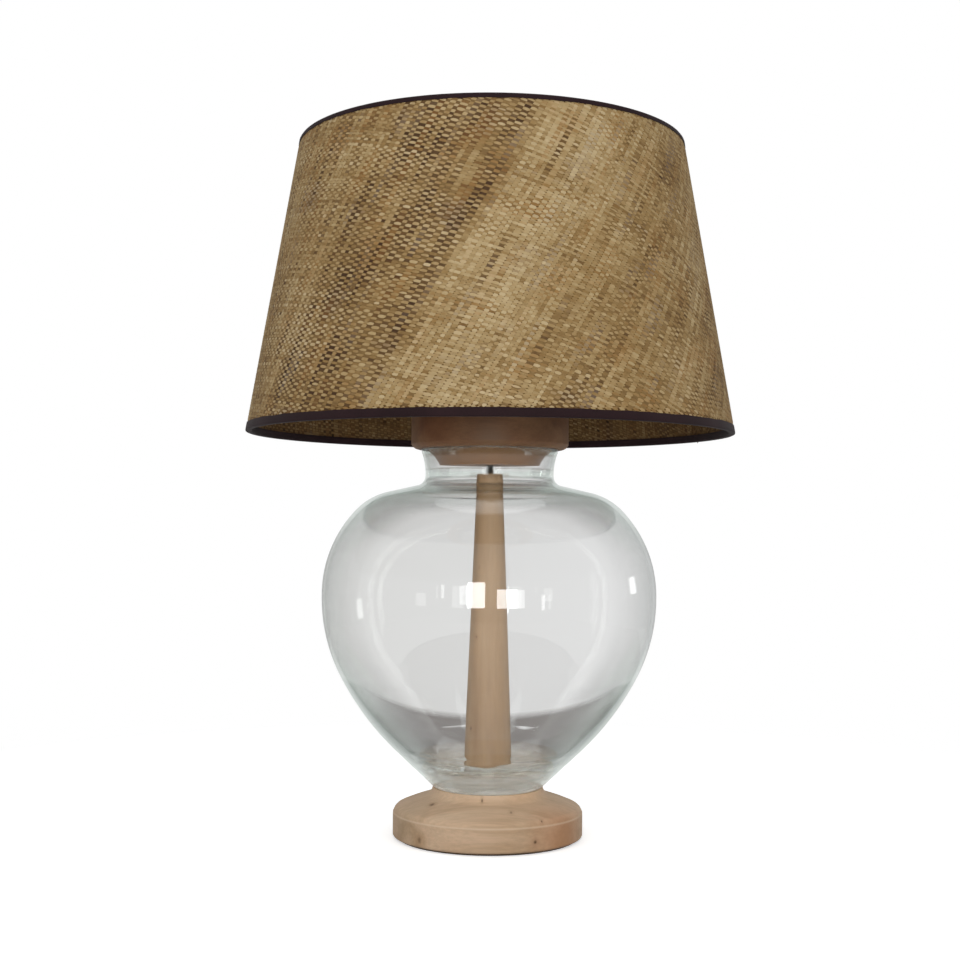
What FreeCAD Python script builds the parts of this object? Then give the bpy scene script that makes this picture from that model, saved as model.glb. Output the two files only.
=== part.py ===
"""Bedside lamp: a woven shade over a clear glass jar on a turned wooden base.

Millimetres, +Z up. The origin is the centre of the pad's underside, on the surface the lamp stands on.
The front of the lamp is -Y and its mains lead enters at the back, +Y.
"""

import FreeCAD, Part
import Sketcher
import math
import os

Vector = FreeCAD.Vector
Rotation = FreeCAD.Rotation

# Driving dimensions: a heading names the piece that each group belongs to
SIZES = {
    "shared": {
        "touch_gap": 0.05,
        "cut_overrun": 2.0,
    },
    "pad": {
        "pad_radius": 83.0,
        "pad_thickness": 2.0,
    },
    "turned base": {
        "base_radius": 87.4,
        "base_edge_round": 2.0,
        "base_wall_height": 21.6,
        "base_quirk": 0.5,
        "base_brow_radius": 81.5,
        "base_brow_height": 28.0,
        "base_hub_foot_radius": 58.0,
        "base_hub_foot_height": 36.2,
        "base_hub_radius": 50.8,
        "base_height": 44.0,
        "base_seat_radius": 49.0,
        "base_seat_depth": 1.5,
        "base_recess_radius": 24.0,
        "base_recess_depth": 13.0,
        "base_brow_bulge_share": 0.16,
        "base_dome_bulge_share": 0.02,
        "base_cove_bulge_share": 0.14,
    },
    "cord inlet": {
        "inlet_height": 8.0,
        "inlet_bore_radius": 3.2,
        "bush_wall": 1.2,
        "bush_length": 14.0,
        "bush_flange_radius": 6.6,
        "bush_flange_thickness": 1.6,
        "bush_clearance": 0.1,
    },
    "tube and its fasteners": {
        "tube_radius": 4.0,
        "tube_bore_radius": 3.0,
        "tube_clearance": 0.3,
        "tube_below_nut": 2.5,
        "tube_above_saddle": 7.0,
        "nut_half_flats": 6.5,
        "nut_height": 5.0,
        "washer_radius": 11.0,
        "washer_thickness": 1.6,
    },
    "soft washers": {
        "gasket_radius": 41.0,
        "gasket_thickness": 1.0,
        "foot_gasket_radius": 15.5,
        "foot_gasket_thickness": 1.0,
        "lip_gasket_thickness": 1.0,
        "lip_gasket_width": 4.0,
    },
    "glass jar": {
        "jar_wall": 3.5,
        "jar_flank_wall": 7.5,
        "jar_floor": 18.0,
        "jar_hole_radius": 6.0,
        "jar_foot_radius": 43.0,
        "jar_heel_radius": 51.5,
        "jar_heel_height": 2.4,
        "jar_flank_radius": 84.0,
        "jar_flank_height": 33.1,
        "jar_haunch_radius": 135.9,
        "jar_haunch_height": 101.2,
        "jar_belly_radius": 154.3,
        "jar_belly_low": 173.4,
        "jar_belly_high": 177.4,
        "jar_shoulder_radius": 123.3,
        "jar_shoulder_height": 255.4,
        "jar_crest_radius": 94.5,
        "jar_crest_height": 271.9,
        "jar_throat_radius": 66.5,
        "jar_throat_height": 278.4,
        "jar_neck_radius": 59.5,
        "jar_neck_height": 287.2,
        "jar_lip_radius": 63.4,
        "jar_height": 311.0,
        "jar_floor_round": 20.0,
        "jar_heel_bulge_share": 0.10,
        "jar_flank_bulge_share": 0.041,
        "jar_haunch_bulge_share": 0.060,
        "jar_shoulder_bulge_share": 0.096,
        "jar_crest_bulge_share": 0.073,
        "jar_throat_bulge_share": 0.176,
        "jar_neck_bulge_share": 0.05,
        "jar_lip_bulge_share": 0.48,
    },
    "column": {
        "column_length": 270.3,
        "column_foot_radius": 22.0,
        "column_top_radius": 12.0,
        "column_edge_round": 1.2,
        "column_foot_round": 5.5,
    },
    "stopper": {
        "stopper_plug_radius": 46.5,
        "stopper_plug_depth": 15.7,
        "stopper_plug_land": 0.8,
        "stopper_cove_radius": 59.0,
        "stopper_radius": 73.2,
        "stopper_thickness": 37.5,
        "stopper_edge_round": 3.6,
        "stopper_shoulder_width": 7.5,
        "stopper_shoulder_height": 4.5,
        "stopper_shoulder_bulge_share": 0.16,
        "stopper_cove_bulge_share": 0.05,
        "quarter_round_bulge_share": 0.2071,
    },
    "harp saddle": {
        "saddle_half_span": 32.5,
        "saddle_thickness": 2.0,
        "saddle_width": 12.0,
        "saddle_bend": 5.0,
        "saddle_rise": 9.0,
        "saddle_tongue_width": 3.4,
        "saddle_tongue_length": 8.0,
    },
    "harp": {
        "harp_wire_radius": 2.0,
        "harp_height": 221.0,
        "harp_leg_length": 36.0,
        "harp_half_width": 57.0,
        "harp_waist_height": 88.0,
        "harp_chest_height": 150.0,
        "harp_brow_half_width": 39.0,
        "harp_brow_height": 196.0,
        "harp_crown_half_width": 15.0,
        "harp_bend_share": 0.45,
    },
    "harp sleeves": {
        "sleeve_length": 16.0,
        "sleeve_wall": 0.9,
        "sleeve_clearance": 0.15,
        "sleeve_lip": 0.6,
        "sleeve_lip_height": 2.0,
    },
    "harp stud": {
        "stud_radius": 3.175,
        "stud_length": 14.0,
        "stud_flange_radius": 7.0,
        "stud_flange_thickness": 1.6,
        "stud_boss_radius": 4.6,
        "stud_boss_below_wire": 3.0,
        "stud_wire_drop": 7.0,
        "stud_hole_slack": 0.3,
    },
    "lampholder": {
        "socket_hub_radius": 6.6,
        "socket_hub_height": 4.0,
        "socket_sheet": 0.6,
        "socket_cap_radius": 16.8,
        "socket_cap_brow": 14.0,
        "socket_cap_height": 21.0,
        "socket_cap_bulge_share": 0.16,
        "socket_lap": 4.0,
        "socket_step": 0.8,
        "socket_height": 58.0,
        "socket_bead_height": 3.0,
        "socket_bead_bulge_share": 0.35,
        "liner_thickness": 0.8,
        "liner_clearance": 0.15,
        "liner_above_lap": 1.0,
        "liner_below_rim": 2.0,
        "interior_radius": 12.6,
        "interior_foot": 8.5,
        "interior_foot_radius": 10.5,
        "interior_height": 25.0,
        "interior_waist_radius": 9.0,
        "interior_waist_low": 3.0,
        "interior_waist_high": 12.0,
        "interior_slope": 1.2,
        "interior_flange_thickness": 3.0,
        "screw_shell_radius": 13.45,
        "screw_shell_sheet": 0.4,
        "screw_shell_length": 23.0,
        "contact_length": 14.0,
        "contact_width": 5.0,
        "contact_thickness": 0.6,
        "terminal_head_radius": 3.0,
        "terminal_head_length": 2.0,
        "terminal_shank_radius": 1.6,
        "terminal_shank_length": 5.0,
        "terminal_height": 16.0,
    },
    "turn switch": {
        "switch_height": 27.0,
        "switch_shaft_radius": 1.5,
        "switch_shaft_start": 5.0,
        "switch_shaft_end": 27.0,
        "switch_clearance": 0.4,
        "knob_radius": 5.5,
        "knob_neck_radius": 3.6,
        "knob_neck_length": 4.0,
        "knob_length": 14.0,
        "knob_grip": 4.4,
        "knob_wall_gap": 0.6,
        "knob_round": 1.2,
    },
    "bulb": {
        "bulb_thread_radius": 13.1,
        "bulb_contact_radius": 4.8,
        "bulb_contact_height": 1.0,
        "bulb_insulator_height": 2.5,
        "bulb_thread_length": 22.0,
        "bulb_collar_foot_radius": 13.6,
        "bulb_collar_radius": 27.5,
        "bulb_collar_height": 30.0,
        "bulb_globe_radius": 30.0,
        "bulb_globe_foot_radius": 27.4,
        "bulb_globe_rise": 24.0,
        "bulb_crown_flat": 1.5,
        "bulb_wall": 1.2,
        "bulb_collar_bulge_share": 0.07,
        "bulb_cheek_bulge_share": 0.027,
        "bulb_crown_bulge_share": 0.2,
    },
    "shade": {
        "shade_radius": 225.6,
        "shade_top_radius": 179.3,
        "shade_height": 269.2,
        "weave_thickness": 1.2,
        "tape_thickness": 0.4,
        "tape_clearance": 0.1,
        "tape_bottom_flap": 7.5,
        "tape_top_flap": 4.5,
        "tape_inner_flap": 7.0,
        "ring_wire_radius": 1.6,
        "ring_clearance": 0.1,
    },
    "spider": {
        "spider_recess": 15.8,
        "spider_hub_radius": 13.0,
        "spider_hub_thickness": 1.6,
        "spider_wire_radius": 1.6,
        "spider_start": 8.6,
        "spider_rise_run": 24.0,
        "spider_notch_gap": 0.5,
    },
    "finial": {
        "finial_bore_depth": 13.0,
        "finial_foot_radius": 7.4,
        "finial_foot_height": 3.0,
        "finial_neck_radius": 3.9,
        "finial_neck_height": 6.5,
        "finial_ball_radius": 9.0,
        "finial_ball_height": 15.5,
        "finial_height": 25.0,
        "finial_tip_radius": 2.0,
        "finial_neck_bulge_share": 0.2,
        "finial_ball_bulge_share": 0.22,
    },
}

COUNTS = {"spider_arm_count": 3, "nut_sides": 6}

doc = FreeCAD.newDocument("BedsideLamp")
sheet = doc.addObject("Spreadsheet::Sheet", "Sizes")


class Size:
    """A length that knows both its number and the expression that ties it to the sheet."""

    def __init__(self, value, text):
        self.value = value
        self.text = text

    def __add__(self, other):
        other = as_size(other)
        return Size(self.value + other.value, "(" + self.text + " + " + other.text + ")")

    def __sub__(self, other):
        other = as_size(other)
        return Size(self.value - other.value, "(" + self.text + " - " + other.text + ")")

    def __mul__(self, other):
        other = as_size(other)
        return Size(self.value * other.value, "(" + self.text + " * " + other.text + ")")

    def __truediv__(self, other):
        other = as_size(other)
        return Size(self.value / other.value, "(" + self.text + " / " + other.text + ")")

    def __rtruediv__(self, other):
        return as_size(other) / self

    def __neg__(self):
        return Size(-self.value, "(-1 * " + self.text + ")")

    def __rmul__(self, other):
        return as_size(other) * self

    def __radd__(self, other):
        return as_size(other) + self

    def __rsub__(self, other):
        return as_size(other) - self


def as_size(number):
    if isinstance(number, Size):
        return number
    return Size(float(number), repr(number))


def span(across, up):
    """The straight distance over two legs."""
    return Size(
        math.hypot(across.value, up.value),
        "sqrt(" + across.text + " ^ 2 + " + up.text + " ^ 2)",
    )


class Sizes:
    """Every cell of the sheet, by its alias."""


def fill_sheet():
    sizes = Sizes()
    row = 1
    groups = dict(SIZES, counts=COUNTS)
    for heading, entries in groups.items():
        sheet.set("A" + str(row), heading)
        row += 1
        for alias, value in entries.items():
            sheet.set("A" + str(row), alias)
            sheet.set("B" + str(row), str(value))
            sheet.setAlias("B" + str(row), alias)
            setattr(sizes, alias, Size(float(value), "Sizes." + alias))
            row += 1
    doc.recompute()
    return sizes


S = fill_sheet()
ZERO = as_size(0)


# Helpers that draw bound sketches and make the common kinds of piece
def bind(thing, prop, size):
    """Set a property from a size and keep it tied to the sheet."""
    size = as_size(size)
    thing.setExpression(prop, size.text)


def place(piece, x=ZERO, y=ZERO, z=ZERO, turn=None):
    """Put a piece at a bound position, turned by a fixed rotation."""
    position = Vector(as_size(x).value, as_size(y).value, as_size(z).value)
    piece.Placement = FreeCAD.Placement(position, turn or Rotation())
    bind(piece, "Placement.Base.x", x)
    bind(piece, "Placement.Base.y", y)
    bind(piece, "Placement.Base.z", z)


def new_body(label):
    body = doc.addObject("PartDesign::Body", "Body_" + label)
    body.Label = label
    return body


def new_sketch(body, role, name):
    """A sketch on one of the body's own origin planes."""
    plane = [feature for feature in body.Origin.OriginFeatures if feature.Role == role][0]
    sketch = body.newObject("Sketcher::SketchObject", name)
    sketch.AttachmentSupport = [(plane, "")]
    sketch.MapMode = "FlatFace"
    return sketch


def pin_point(sketch, edge, end, x, y):
    """Tie one end of an edge to bound coordinates."""
    if x.value == 0:
        sketch.addConstraint(Sketcher.Constraint("PointOnObject", edge, end, -2))
    else:
        index = sketch.addConstraint(Sketcher.Constraint("DistanceX", -1, 1, edge, end, x.value))
        sketch.setExpression("Constraints[" + str(index) + "]", x.text)
    if y.value == 0:
        sketch.addConstraint(Sketcher.Constraint("PointOnObject", edge, end, -1))
    else:
        index = sketch.addConstraint(Sketcher.Constraint("DistanceY", -1, 1, edge, end, y.value))
        sketch.setExpression("Constraints[" + str(index) + "]", y.text)


def bulged_arc(start, finish, bulge):
    """The arc whose rise over its chord is bulge, counter-clockwise from start to finish if positive."""
    if bulge < 0:
        start, finish = finish, start
    chord = finish - start
    rise = abs(bulge) * chord.Length
    radius = (chord.Length ** 2 / 4 + rise ** 2) / (2 * rise)
    left = Vector(-chord.y, chord.x, 0).normalize()
    centre = start + chord * 0.5 + left * (radius - rise)
    first = math.atan2(start.y - centre.y, start.x - centre.x)
    last = math.atan2(finish.y - centre.y, finish.x - centre.x)
    if last < first:
        last += 2 * math.pi
    circle = Part.Circle(centre, Vector(0, 0, 1), radius)
    return Part.ArcOfCircle(circle, first, last)


def draw(sketch, points):
    """A closed outline, counter-clockwise. A point is (x, y), or (x, y, bulge) where an arc arrives
    at it: bulge is the arc's rise as a share of its chord, positive where it swells outwards."""
    corners = [(as_size(point[0]), as_size(point[1])) for point in points]
    bulges = [as_size(point[2]) if len(point) > 2 else ZERO for point in points]
    count = len(points)
    first = sketch.GeometryCount
    ends = []
    for index in range(count):
        follower = (index + 1) % count
        bulge = bulges[follower]
        start = Vector(corners[index][0].value, corners[index][1].value, 0)
        finish = Vector(corners[follower][0].value, corners[follower][1].value, 0)
        if bulge.value == 0:
            sketch.addGeometry(Part.LineSegment(start, finish))
            ends.append((1, 2))
        else:
            sketch.addGeometry(bulged_arc(start, finish, bulge.value))
            ends.append((1, 2) if bulge.value > 0 else (2, 1))
    for index in range(count):
        follower = (index + 1) % count
        edge = first + index
        join = Sketcher.Constraint("Coincident", edge, ends[index][1], first + follower, ends[follower][0])
        sketch.addConstraint(join)
        pin_point(sketch, edge, ends[index][0], corners[index][0], corners[index][1])
    for index in range(count):
        follower = (index + 1) % count
        bulge = bulges[follower]
        if bulge.value == 0:
            continue
        share = bulge if bulge.value > 0 else -bulge
        across = corners[follower][0] - corners[index][0]
        up = corners[follower][1] - corners[index][1]
        radius = span(across, up) * (1 / (8 * share) + share / 2)
        held = sketch.addConstraint(Sketcher.Constraint("Radius", first + index, radius.value))
        sketch.setExpression("Constraints[" + str(held) + "]", radius.text)


def draw_circle(sketch, x, y, radius):
    circle = Part.Circle(Vector(x.value, y.value, 0), Vector(0, 0, 1), radius.value)
    index = sketch.addGeometry(circle)
    pin_point(sketch, index, 3, x, y)
    held = sketch.addConstraint(Sketcher.Constraint("Radius", index, radius.value))
    sketch.setExpression("Constraints[" + str(held) + "]", radius.text)


def turned(label, points):
    """A turned piece: an outline in radius and height, revolved about the piece's own Z axis."""
    body = new_body(label)
    sketch = new_sketch(body, "XZ_Plane", label + "_outline")
    draw(sketch, points)
    turning = body.newObject("PartDesign::Revolution", label + "_turning")
    turning.Profile = sketch
    turning.ReferenceAxis = (sketch, ["V_Axis"])
    turning.Angle = 360
    sketch.Visibility = False
    return body


def ring(label, inner, outer, height):
    """A plain washer, sleeve or gasket."""
    return turned(label, [(inner, 0), (outer, 0), (outer, height), (inner, height)])


def cut_round(body, role, name, x, y, radius, depth, reverse):
    """A round hole from one of the body's origin planes, and a check that it removed something."""
    sketch = new_sketch(body, role, name + "_circle")
    draw_circle(sketch, as_size(x), as_size(y), radius)
    return cut_outline(body, sketch, name, depth, reverse)


def cut_outline(body, sketch, name, depth, reverse):
    """A pocket from a drawn outline, and a check that it removed something."""
    doc.recompute()
    before = body.Shape.Volume
    pocket = body.newObject("PartDesign::Pocket", name)
    pocket.Profile = sketch
    bind(pocket, "Length", depth)
    pocket.Reversed = reverse
    sketch.Visibility = False
    doc.recompute()
    if body.Shape.Volume > before * (1 - 1e-9):
        raise ValueError(name + " cuts nothing")
    return pocket


def pad_midplane(body, sketch, name, width):
    pad = body.newObject("PartDesign::Pad", name)
    pad.Profile = sketch
    bind(pad, "Length", width)
    pad.Midplane = True
    sketch.Visibility = False
    return pad


def bent_wire(points, share):
    """A wire of straight runs joined by tangent arcs, each as large as its shorter run allows."""
    edges = []
    last = points[0]
    for before, corner, after in zip(points, points[1:], points[2:]):
        incoming = corner - before
        outgoing = after - corner
        half_turn = incoming.getAngle(outgoing) / 2
        reach = share * min(incoming.Length, outgoing.Length)
        start = corner - Vector(incoming).normalize() * reach
        finish = corner + Vector(outgoing).normalize() * reach
        inward = (Vector(outgoing).normalize() - Vector(incoming).normalize()).normalize()
        radius = reach / math.tan(half_turn)
        centre = corner + inward * (radius / math.cos(half_turn))
        middle = centre - inward * radius
        edges.append(Part.LineSegment(last, start).toShape())
        edges.append(Part.Arc(start, middle, finish).toShape())
        last = finish
    edges.append(Part.LineSegment(last, points[-1]).toShape())
    return Part.Wire(edges)


def rod_along(path, radius):
    """A round rod swept along a wire."""
    start = path.Edges[0].Vertexes[0].Point
    heading = path.Edges[0].Vertexes[1].Point - start
    section = Part.Wire([Part.makeCircle(radius, start, heading)])
    return path.makePipeShell([section], True, False)


def fixed_shape(label, shape):
    """A piece whose shape is worked out from the sheet's numbers."""
    piece = doc.addObject("Part::Feature", "Piece_" + label)
    piece.Label = label
    piece.Shape = shape
    return piece


# Heights of the stack, from the table upwards
BASE_SEAT = S.pad_thickness + S.base_height - S.base_seat_depth
JAR_BOTTOM = BASE_SEAT + S.gasket_thickness
COLUMN_BOTTOM = JAR_BOTTOM + S.jar_floor + S.foot_gasket_thickness
STOPPER_BOTTOM = JAR_BOTTOM + S.jar_height + S.lip_gasket_thickness
STOPPER_TOP = STOPPER_BOTTOM + S.stopper_thickness
TOP_NUT_BOTTOM = STOPPER_TOP + S.washer_thickness
SADDLE_BOTTOM = TOP_NUT_BOTTOM + S.nut_height
SADDLE_TOP = SADDLE_BOTTOM + S.saddle_thickness
TUBE_HOLE = S.tube_radius + S.tube_clearance
RECESS_TOP = S.pad_thickness + S.base_recess_depth
BASE_NUT_BOTTOM = RECESS_TOP - S.washer_thickness - S.nut_height
TONGUE_SHOULDER = SADDLE_BOTTOM + S.saddle_rise
TONGUE_TOP = TONGUE_SHOULDER + S.saddle_tongue_length
HUB_SEAT = SADDLE_TOP + S.harp_height
SLEEVE_BORE = S.harp_wire_radius + S.sleeve_clearance
INTERIOR_TOP = S.interior_foot + S.interior_height
BULB_SEAT = SADDLE_TOP + INTERIOR_TOP + S.contact_thickness
SHADE_BOTTOM = HUB_SEAT + S.spider_recess - S.shade_height
SHADE_LEAN = (S.shade_radius - S.shade_top_radius) / S.shade_height
SHADE_SLANT = span(S.shade_radius - S.shade_top_radius, S.shade_height) / S.shade_height
BUSH_OUTER = S.inlet_bore_radius + S.bush_wall
SHELL_LAP_OUTER = S.socket_cap_radius - S.socket_sheet - S.touch_gap
SHELL_LAP_INNER = SHELL_LAP_OUTER - S.socket_sheet
LINER_OUTER = SHELL_LAP_INNER - S.liner_clearance
LINER_INNER = LINER_OUTER - S.liner_thickness


# The wooden base and what is under it
def make_pad():
    outline = [(0, 0), (S.pad_radius, 0), (S.pad_radius, S.pad_thickness), (0, S.pad_thickness)]
    return [turned("base_felt", outline)]


def make_turned_base():
    seat = S.base_height - S.base_seat_depth
    base = turned(
        "turned_base",
        [
            (S.base_recess_radius, 0),
            (S.base_radius - S.base_edge_round, 0),
            (S.base_radius, S.base_edge_round, S.quarter_round_bulge_share),
            (S.base_radius, S.base_wall_height),
            (S.base_radius - S.base_quirk, S.base_wall_height),
            (S.base_brow_radius, S.base_brow_height, S.base_brow_bulge_share),
            (S.base_hub_foot_radius, S.base_hub_foot_height, S.base_dome_bulge_share),
            (S.base_hub_radius, S.base_height, -S.base_cove_bulge_share),
            (S.base_seat_radius, S.base_height),
            (S.base_seat_radius, seat),
            (TUBE_HOLE, seat),
            (TUBE_HOLE, S.base_recess_depth),
            (S.base_recess_radius, S.base_recess_depth),
        ],
    )
    reach = S.base_radius + S.cut_overrun
    cut_round(base, "XZ_Plane", "cord_hole", 0, S.inlet_height, BUSH_OUTER + S.bush_clearance, reach, False)
    place(base, z=S.pad_thickness)
    return [base]


def make_cord_bush():
    bush = turned(
        "cord_bush",
        [
            (S.inlet_bore_radius, 0),
            (BUSH_OUTER, 0),
            (BUSH_OUTER, S.bush_length),
            (S.bush_flange_radius, S.bush_length),
            (S.bush_flange_radius, S.bush_length + S.bush_flange_thickness),
            (S.inlet_bore_radius, S.bush_length + S.bush_flange_thickness),
        ],
    )
    place(
        bush,
        y=S.base_radius - S.bush_length,
        z=S.pad_thickness + S.inlet_height,
        turn=Rotation(Vector(1, 0, 0), -90),
    )
    return [bush]


def make_nut(label, height):
    blank = doc.addObject("Part::Prism", label + "_blank")
    bind(blank, "Polygon", S.nut_sides)
    bind(blank, "Circumradius", S.nut_half_flats * (2 / math.sqrt(3)))
    bind(blank, "Height", S.nut_height)
    hole = doc.addObject("Part::Cylinder", label + "_hole")
    bind(hole, "Radius", S.tube_radius + S.touch_gap)
    bind(hole, "Height", S.nut_height + 2 * S.cut_overrun)
    place(hole, z=-S.cut_overrun)
    nut = doc.addObject("Part::Cut", "Cut_" + label)
    nut.Label = label
    nut.Base = blank
    nut.Tool = hole
    place(nut, z=height)
    return nut


def make_fasteners():
    base_washer = ring("base_washer", TUBE_HOLE, S.washer_radius, S.washer_thickness)
    place(base_washer, z=RECESS_TOP - S.washer_thickness)
    top_washer = ring("top_washer", TUBE_HOLE, S.washer_radius, S.washer_thickness)
    place(top_washer, z=STOPPER_TOP)
    base_nut = make_nut("base_nut", BASE_NUT_BOTTOM)
    top_nut = make_nut("top_nut", TOP_NUT_BOTTOM)
    return [base_washer, top_washer, base_nut, top_nut]


def make_tube():
    bottom = BASE_NUT_BOTTOM - S.tube_below_nut
    top = SADDLE_TOP + S.tube_above_saddle
    tube = ring("lamp_tube", S.tube_bore_radius, S.tube_radius, top - bottom)
    place(tube, z=bottom)
    return [tube]


# The glass jar, what it stands on and the column inside it
def make_gaskets():
    seat = ring("base_gasket", TUBE_HOLE, S.gasket_radius, S.gasket_thickness)
    place(seat, z=BASE_SEAT)
    foot = ring("foot_gasket", TUBE_HOLE, S.foot_gasket_radius, S.foot_gasket_thickness)
    place(foot, z=JAR_BOTTOM + S.jar_floor)
    lip_middle = S.jar_lip_radius - S.jar_wall / 2
    half = S.lip_gasket_width / 2
    lip = ring("stopper_gasket", lip_middle - half, lip_middle + half, S.lip_gasket_thickness)
    place(lip, z=JAR_BOTTOM + S.jar_height)
    return [seat, foot, lip]


def make_jar():
    slant = S.jar_wall * math.sqrt(0.5)
    # The glass thickens down the flank towards the floor
    flank_slant = S.jar_flank_wall * math.sqrt(0.5)
    flank_in_radius = S.jar_flank_radius - flank_slant
    flank_in_height = S.jar_flank_height + flank_slant
    # The haunch runs upright into the belly, so its wall is set off along the arc's own normal
    run = S.jar_belly_radius - S.jar_haunch_radius
    rise = S.jar_belly_low - S.jar_haunch_height
    chord_squared = rise * rise + run * run
    haunch_in_radius = S.jar_haunch_radius - S.jar_wall * (rise * rise - run * run) / chord_squared
    haunch_in_height = S.jar_haunch_height + S.jar_wall * 2 * rise * run / chord_squared
    floor_in_radius = flank_in_radius - (flank_in_height - S.jar_floor)
    floor_rise = S.jar_floor_round * math.sqrt(0.5)
    lip_round = S.jar_wall * S.jar_lip_bulge_share
    lip_base = S.jar_height - lip_round
    jar = turned(
        "glass_jar",
        [
            (S.jar_hole_radius, 0),
            (S.jar_foot_radius, 0),
            (S.jar_heel_radius, S.jar_heel_height, S.jar_heel_bulge_share),
            (S.jar_flank_radius, S.jar_flank_height),
            (S.jar_haunch_radius, S.jar_haunch_height, S.jar_flank_bulge_share),
            (S.jar_belly_radius, S.jar_belly_low, S.jar_haunch_bulge_share),
            (S.jar_belly_radius, S.jar_belly_high),
            (S.jar_shoulder_radius, S.jar_shoulder_height, S.jar_shoulder_bulge_share),
            (S.jar_crest_radius, S.jar_crest_height, S.jar_crest_bulge_share),
            (S.jar_throat_radius, S.jar_throat_height),
            (S.jar_neck_radius, S.jar_neck_height, -S.jar_throat_bulge_share),
            (S.jar_lip_radius, lip_base, -S.jar_neck_bulge_share),
            (S.jar_lip_radius - S.jar_wall, lip_base, S.jar_lip_bulge_share),
            (S.jar_neck_radius - S.jar_wall, S.jar_neck_height, S.jar_neck_bulge_share),
            (S.jar_throat_radius, S.jar_throat_height - S.jar_wall, S.jar_throat_bulge_share),
            (S.jar_crest_radius, S.jar_crest_height - S.jar_wall),
            (S.jar_shoulder_radius - slant, S.jar_shoulder_height - slant, -S.jar_crest_bulge_share),
            (S.jar_belly_radius - S.jar_wall, S.jar_belly_high, -S.jar_shoulder_bulge_share),
            (S.jar_belly_radius - S.jar_wall, S.jar_belly_low),
            (haunch_in_radius, haunch_in_height, -S.jar_haunch_bulge_share),
            (flank_in_radius, flank_in_height, -S.jar_flank_bulge_share),
            (floor_in_radius + floor_rise, S.jar_floor + floor_rise),
            (floor_in_radius - S.jar_floor_round, S.jar_floor, -S.jar_heel_bulge_share),
            (S.jar_hole_radius, S.jar_floor),
        ],
    )
    place(jar, z=JAR_BOTTOM)
    return [jar]


def make_column():
    foot_round = S.column_foot_round
    round_over = S.column_edge_round
    column = turned(
        "column",
        [
            (TUBE_HOLE, 0),
            (S.column_foot_radius - foot_round, 0),
            (S.column_foot_radius, foot_round, S.quarter_round_bulge_share),
            (S.column_top_radius, S.column_length - round_over),
            (S.column_top_radius - round_over, S.column_length, S.quarter_round_bulge_share),
            (TUBE_HOLE, S.column_length),
        ],
    )
    place(column, z=COLUMN_BOTTOM)
    return [column]


def make_stopper():
    round_over = S.stopper_edge_round
    stopper = turned(
        "jar_stopper",
        [
            (TUBE_HOLE, -S.stopper_plug_depth),
            (S.stopper_plug_radius, -S.stopper_plug_depth),
            (S.stopper_plug_radius, S.stopper_plug_land - S.stopper_plug_depth),
            (S.stopper_cove_radius, 0, -S.stopper_cove_bulge_share),
            (S.stopper_radius - S.stopper_shoulder_width, 0),
            (S.stopper_radius, S.stopper_shoulder_height, S.stopper_shoulder_bulge_share),
            (S.stopper_radius, S.stopper_thickness - round_over),
            (S.stopper_radius - round_over, S.stopper_thickness, S.quarter_round_bulge_share),
            (TUBE_HOLE, S.stopper_thickness),
        ],
    )
    place(stopper, z=STOPPER_BOTTOM)
    return [stopper]


# The harp that carries the shade
def make_saddle():
    """A bent strap: a flat middle, two upright ends, and a narrow tongue on each for the harp's leg."""
    body = new_body("harp_saddle")
    outer = S.saddle_half_span + S.saddle_thickness / 2
    inner = S.saddle_half_span - S.saddle_thickness / 2
    inner_bend = S.saddle_bend - S.saddle_thickness
    round_share = S.quarter_round_bulge_share
    strap = new_sketch(body, "XZ_Plane", "strap_outline")
    draw(
        strap,
        [
            (S.saddle_bend - outer, 0, round_share),
            (outer - S.saddle_bend, 0),
            (outer, S.saddle_bend, round_share),
            (outer, S.saddle_rise),
            (inner, S.saddle_rise),
            (inner, S.saddle_bend),
            (inner - inner_bend, S.saddle_thickness, -round_share),
            (inner_bend - inner, S.saddle_thickness),
            (-inner, S.saddle_bend, -round_share),
            (-inner, S.saddle_rise),
            (-outer, S.saddle_rise),
            (-outer, S.saddle_bend),
        ],
    )
    pad_midplane(body, strap, "strap", S.saddle_width)
    tongues = new_sketch(body, "XZ_Plane", "tongue_outlines")
    tip = S.saddle_rise + S.saddle_tongue_length
    for left, right in ((-outer, -inner), (inner, outer)):
        draw(tongues, [(left, S.saddle_rise), (right, S.saddle_rise), (right, tip), (left, tip)])
    pad_midplane(body, tongues, "tongues", S.saddle_tongue_width)
    cut_round(body, "XY_Plane", "saddle_hole", 0, 0, TUBE_HOLE, S.saddle_thickness + S.cut_overrun, True)
    place(body, z=SADDLE_BOTTOM)
    return [body]


def make_harp():
    """One bow of round wire: two straight legs, a waist that clears the bulb, and a low crown."""
    crown = HUB_SEAT - S.stud_wire_drop
    half = [
        (S.saddle_half_span, TONGUE_TOP),
        (S.saddle_half_span, TONGUE_TOP + S.harp_leg_length),
        (S.harp_half_width, SADDLE_TOP + S.harp_waist_height),
        (S.harp_half_width, SADDLE_TOP + S.harp_chest_height),
        (S.harp_brow_half_width, SADDLE_TOP + S.harp_brow_height),
        (S.harp_crown_half_width, crown),
    ]
    right = [Vector(x.value, 0, z.value) for x, z in half]
    left = [Vector(-x.value, 0, z.value) for x, z in reversed(half)]
    path = bent_wire(right + left, S.harp_bend_share.value)
    return [fixed_shape("harp", rod_along(path, S.harp_wire_radius.value))]


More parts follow.
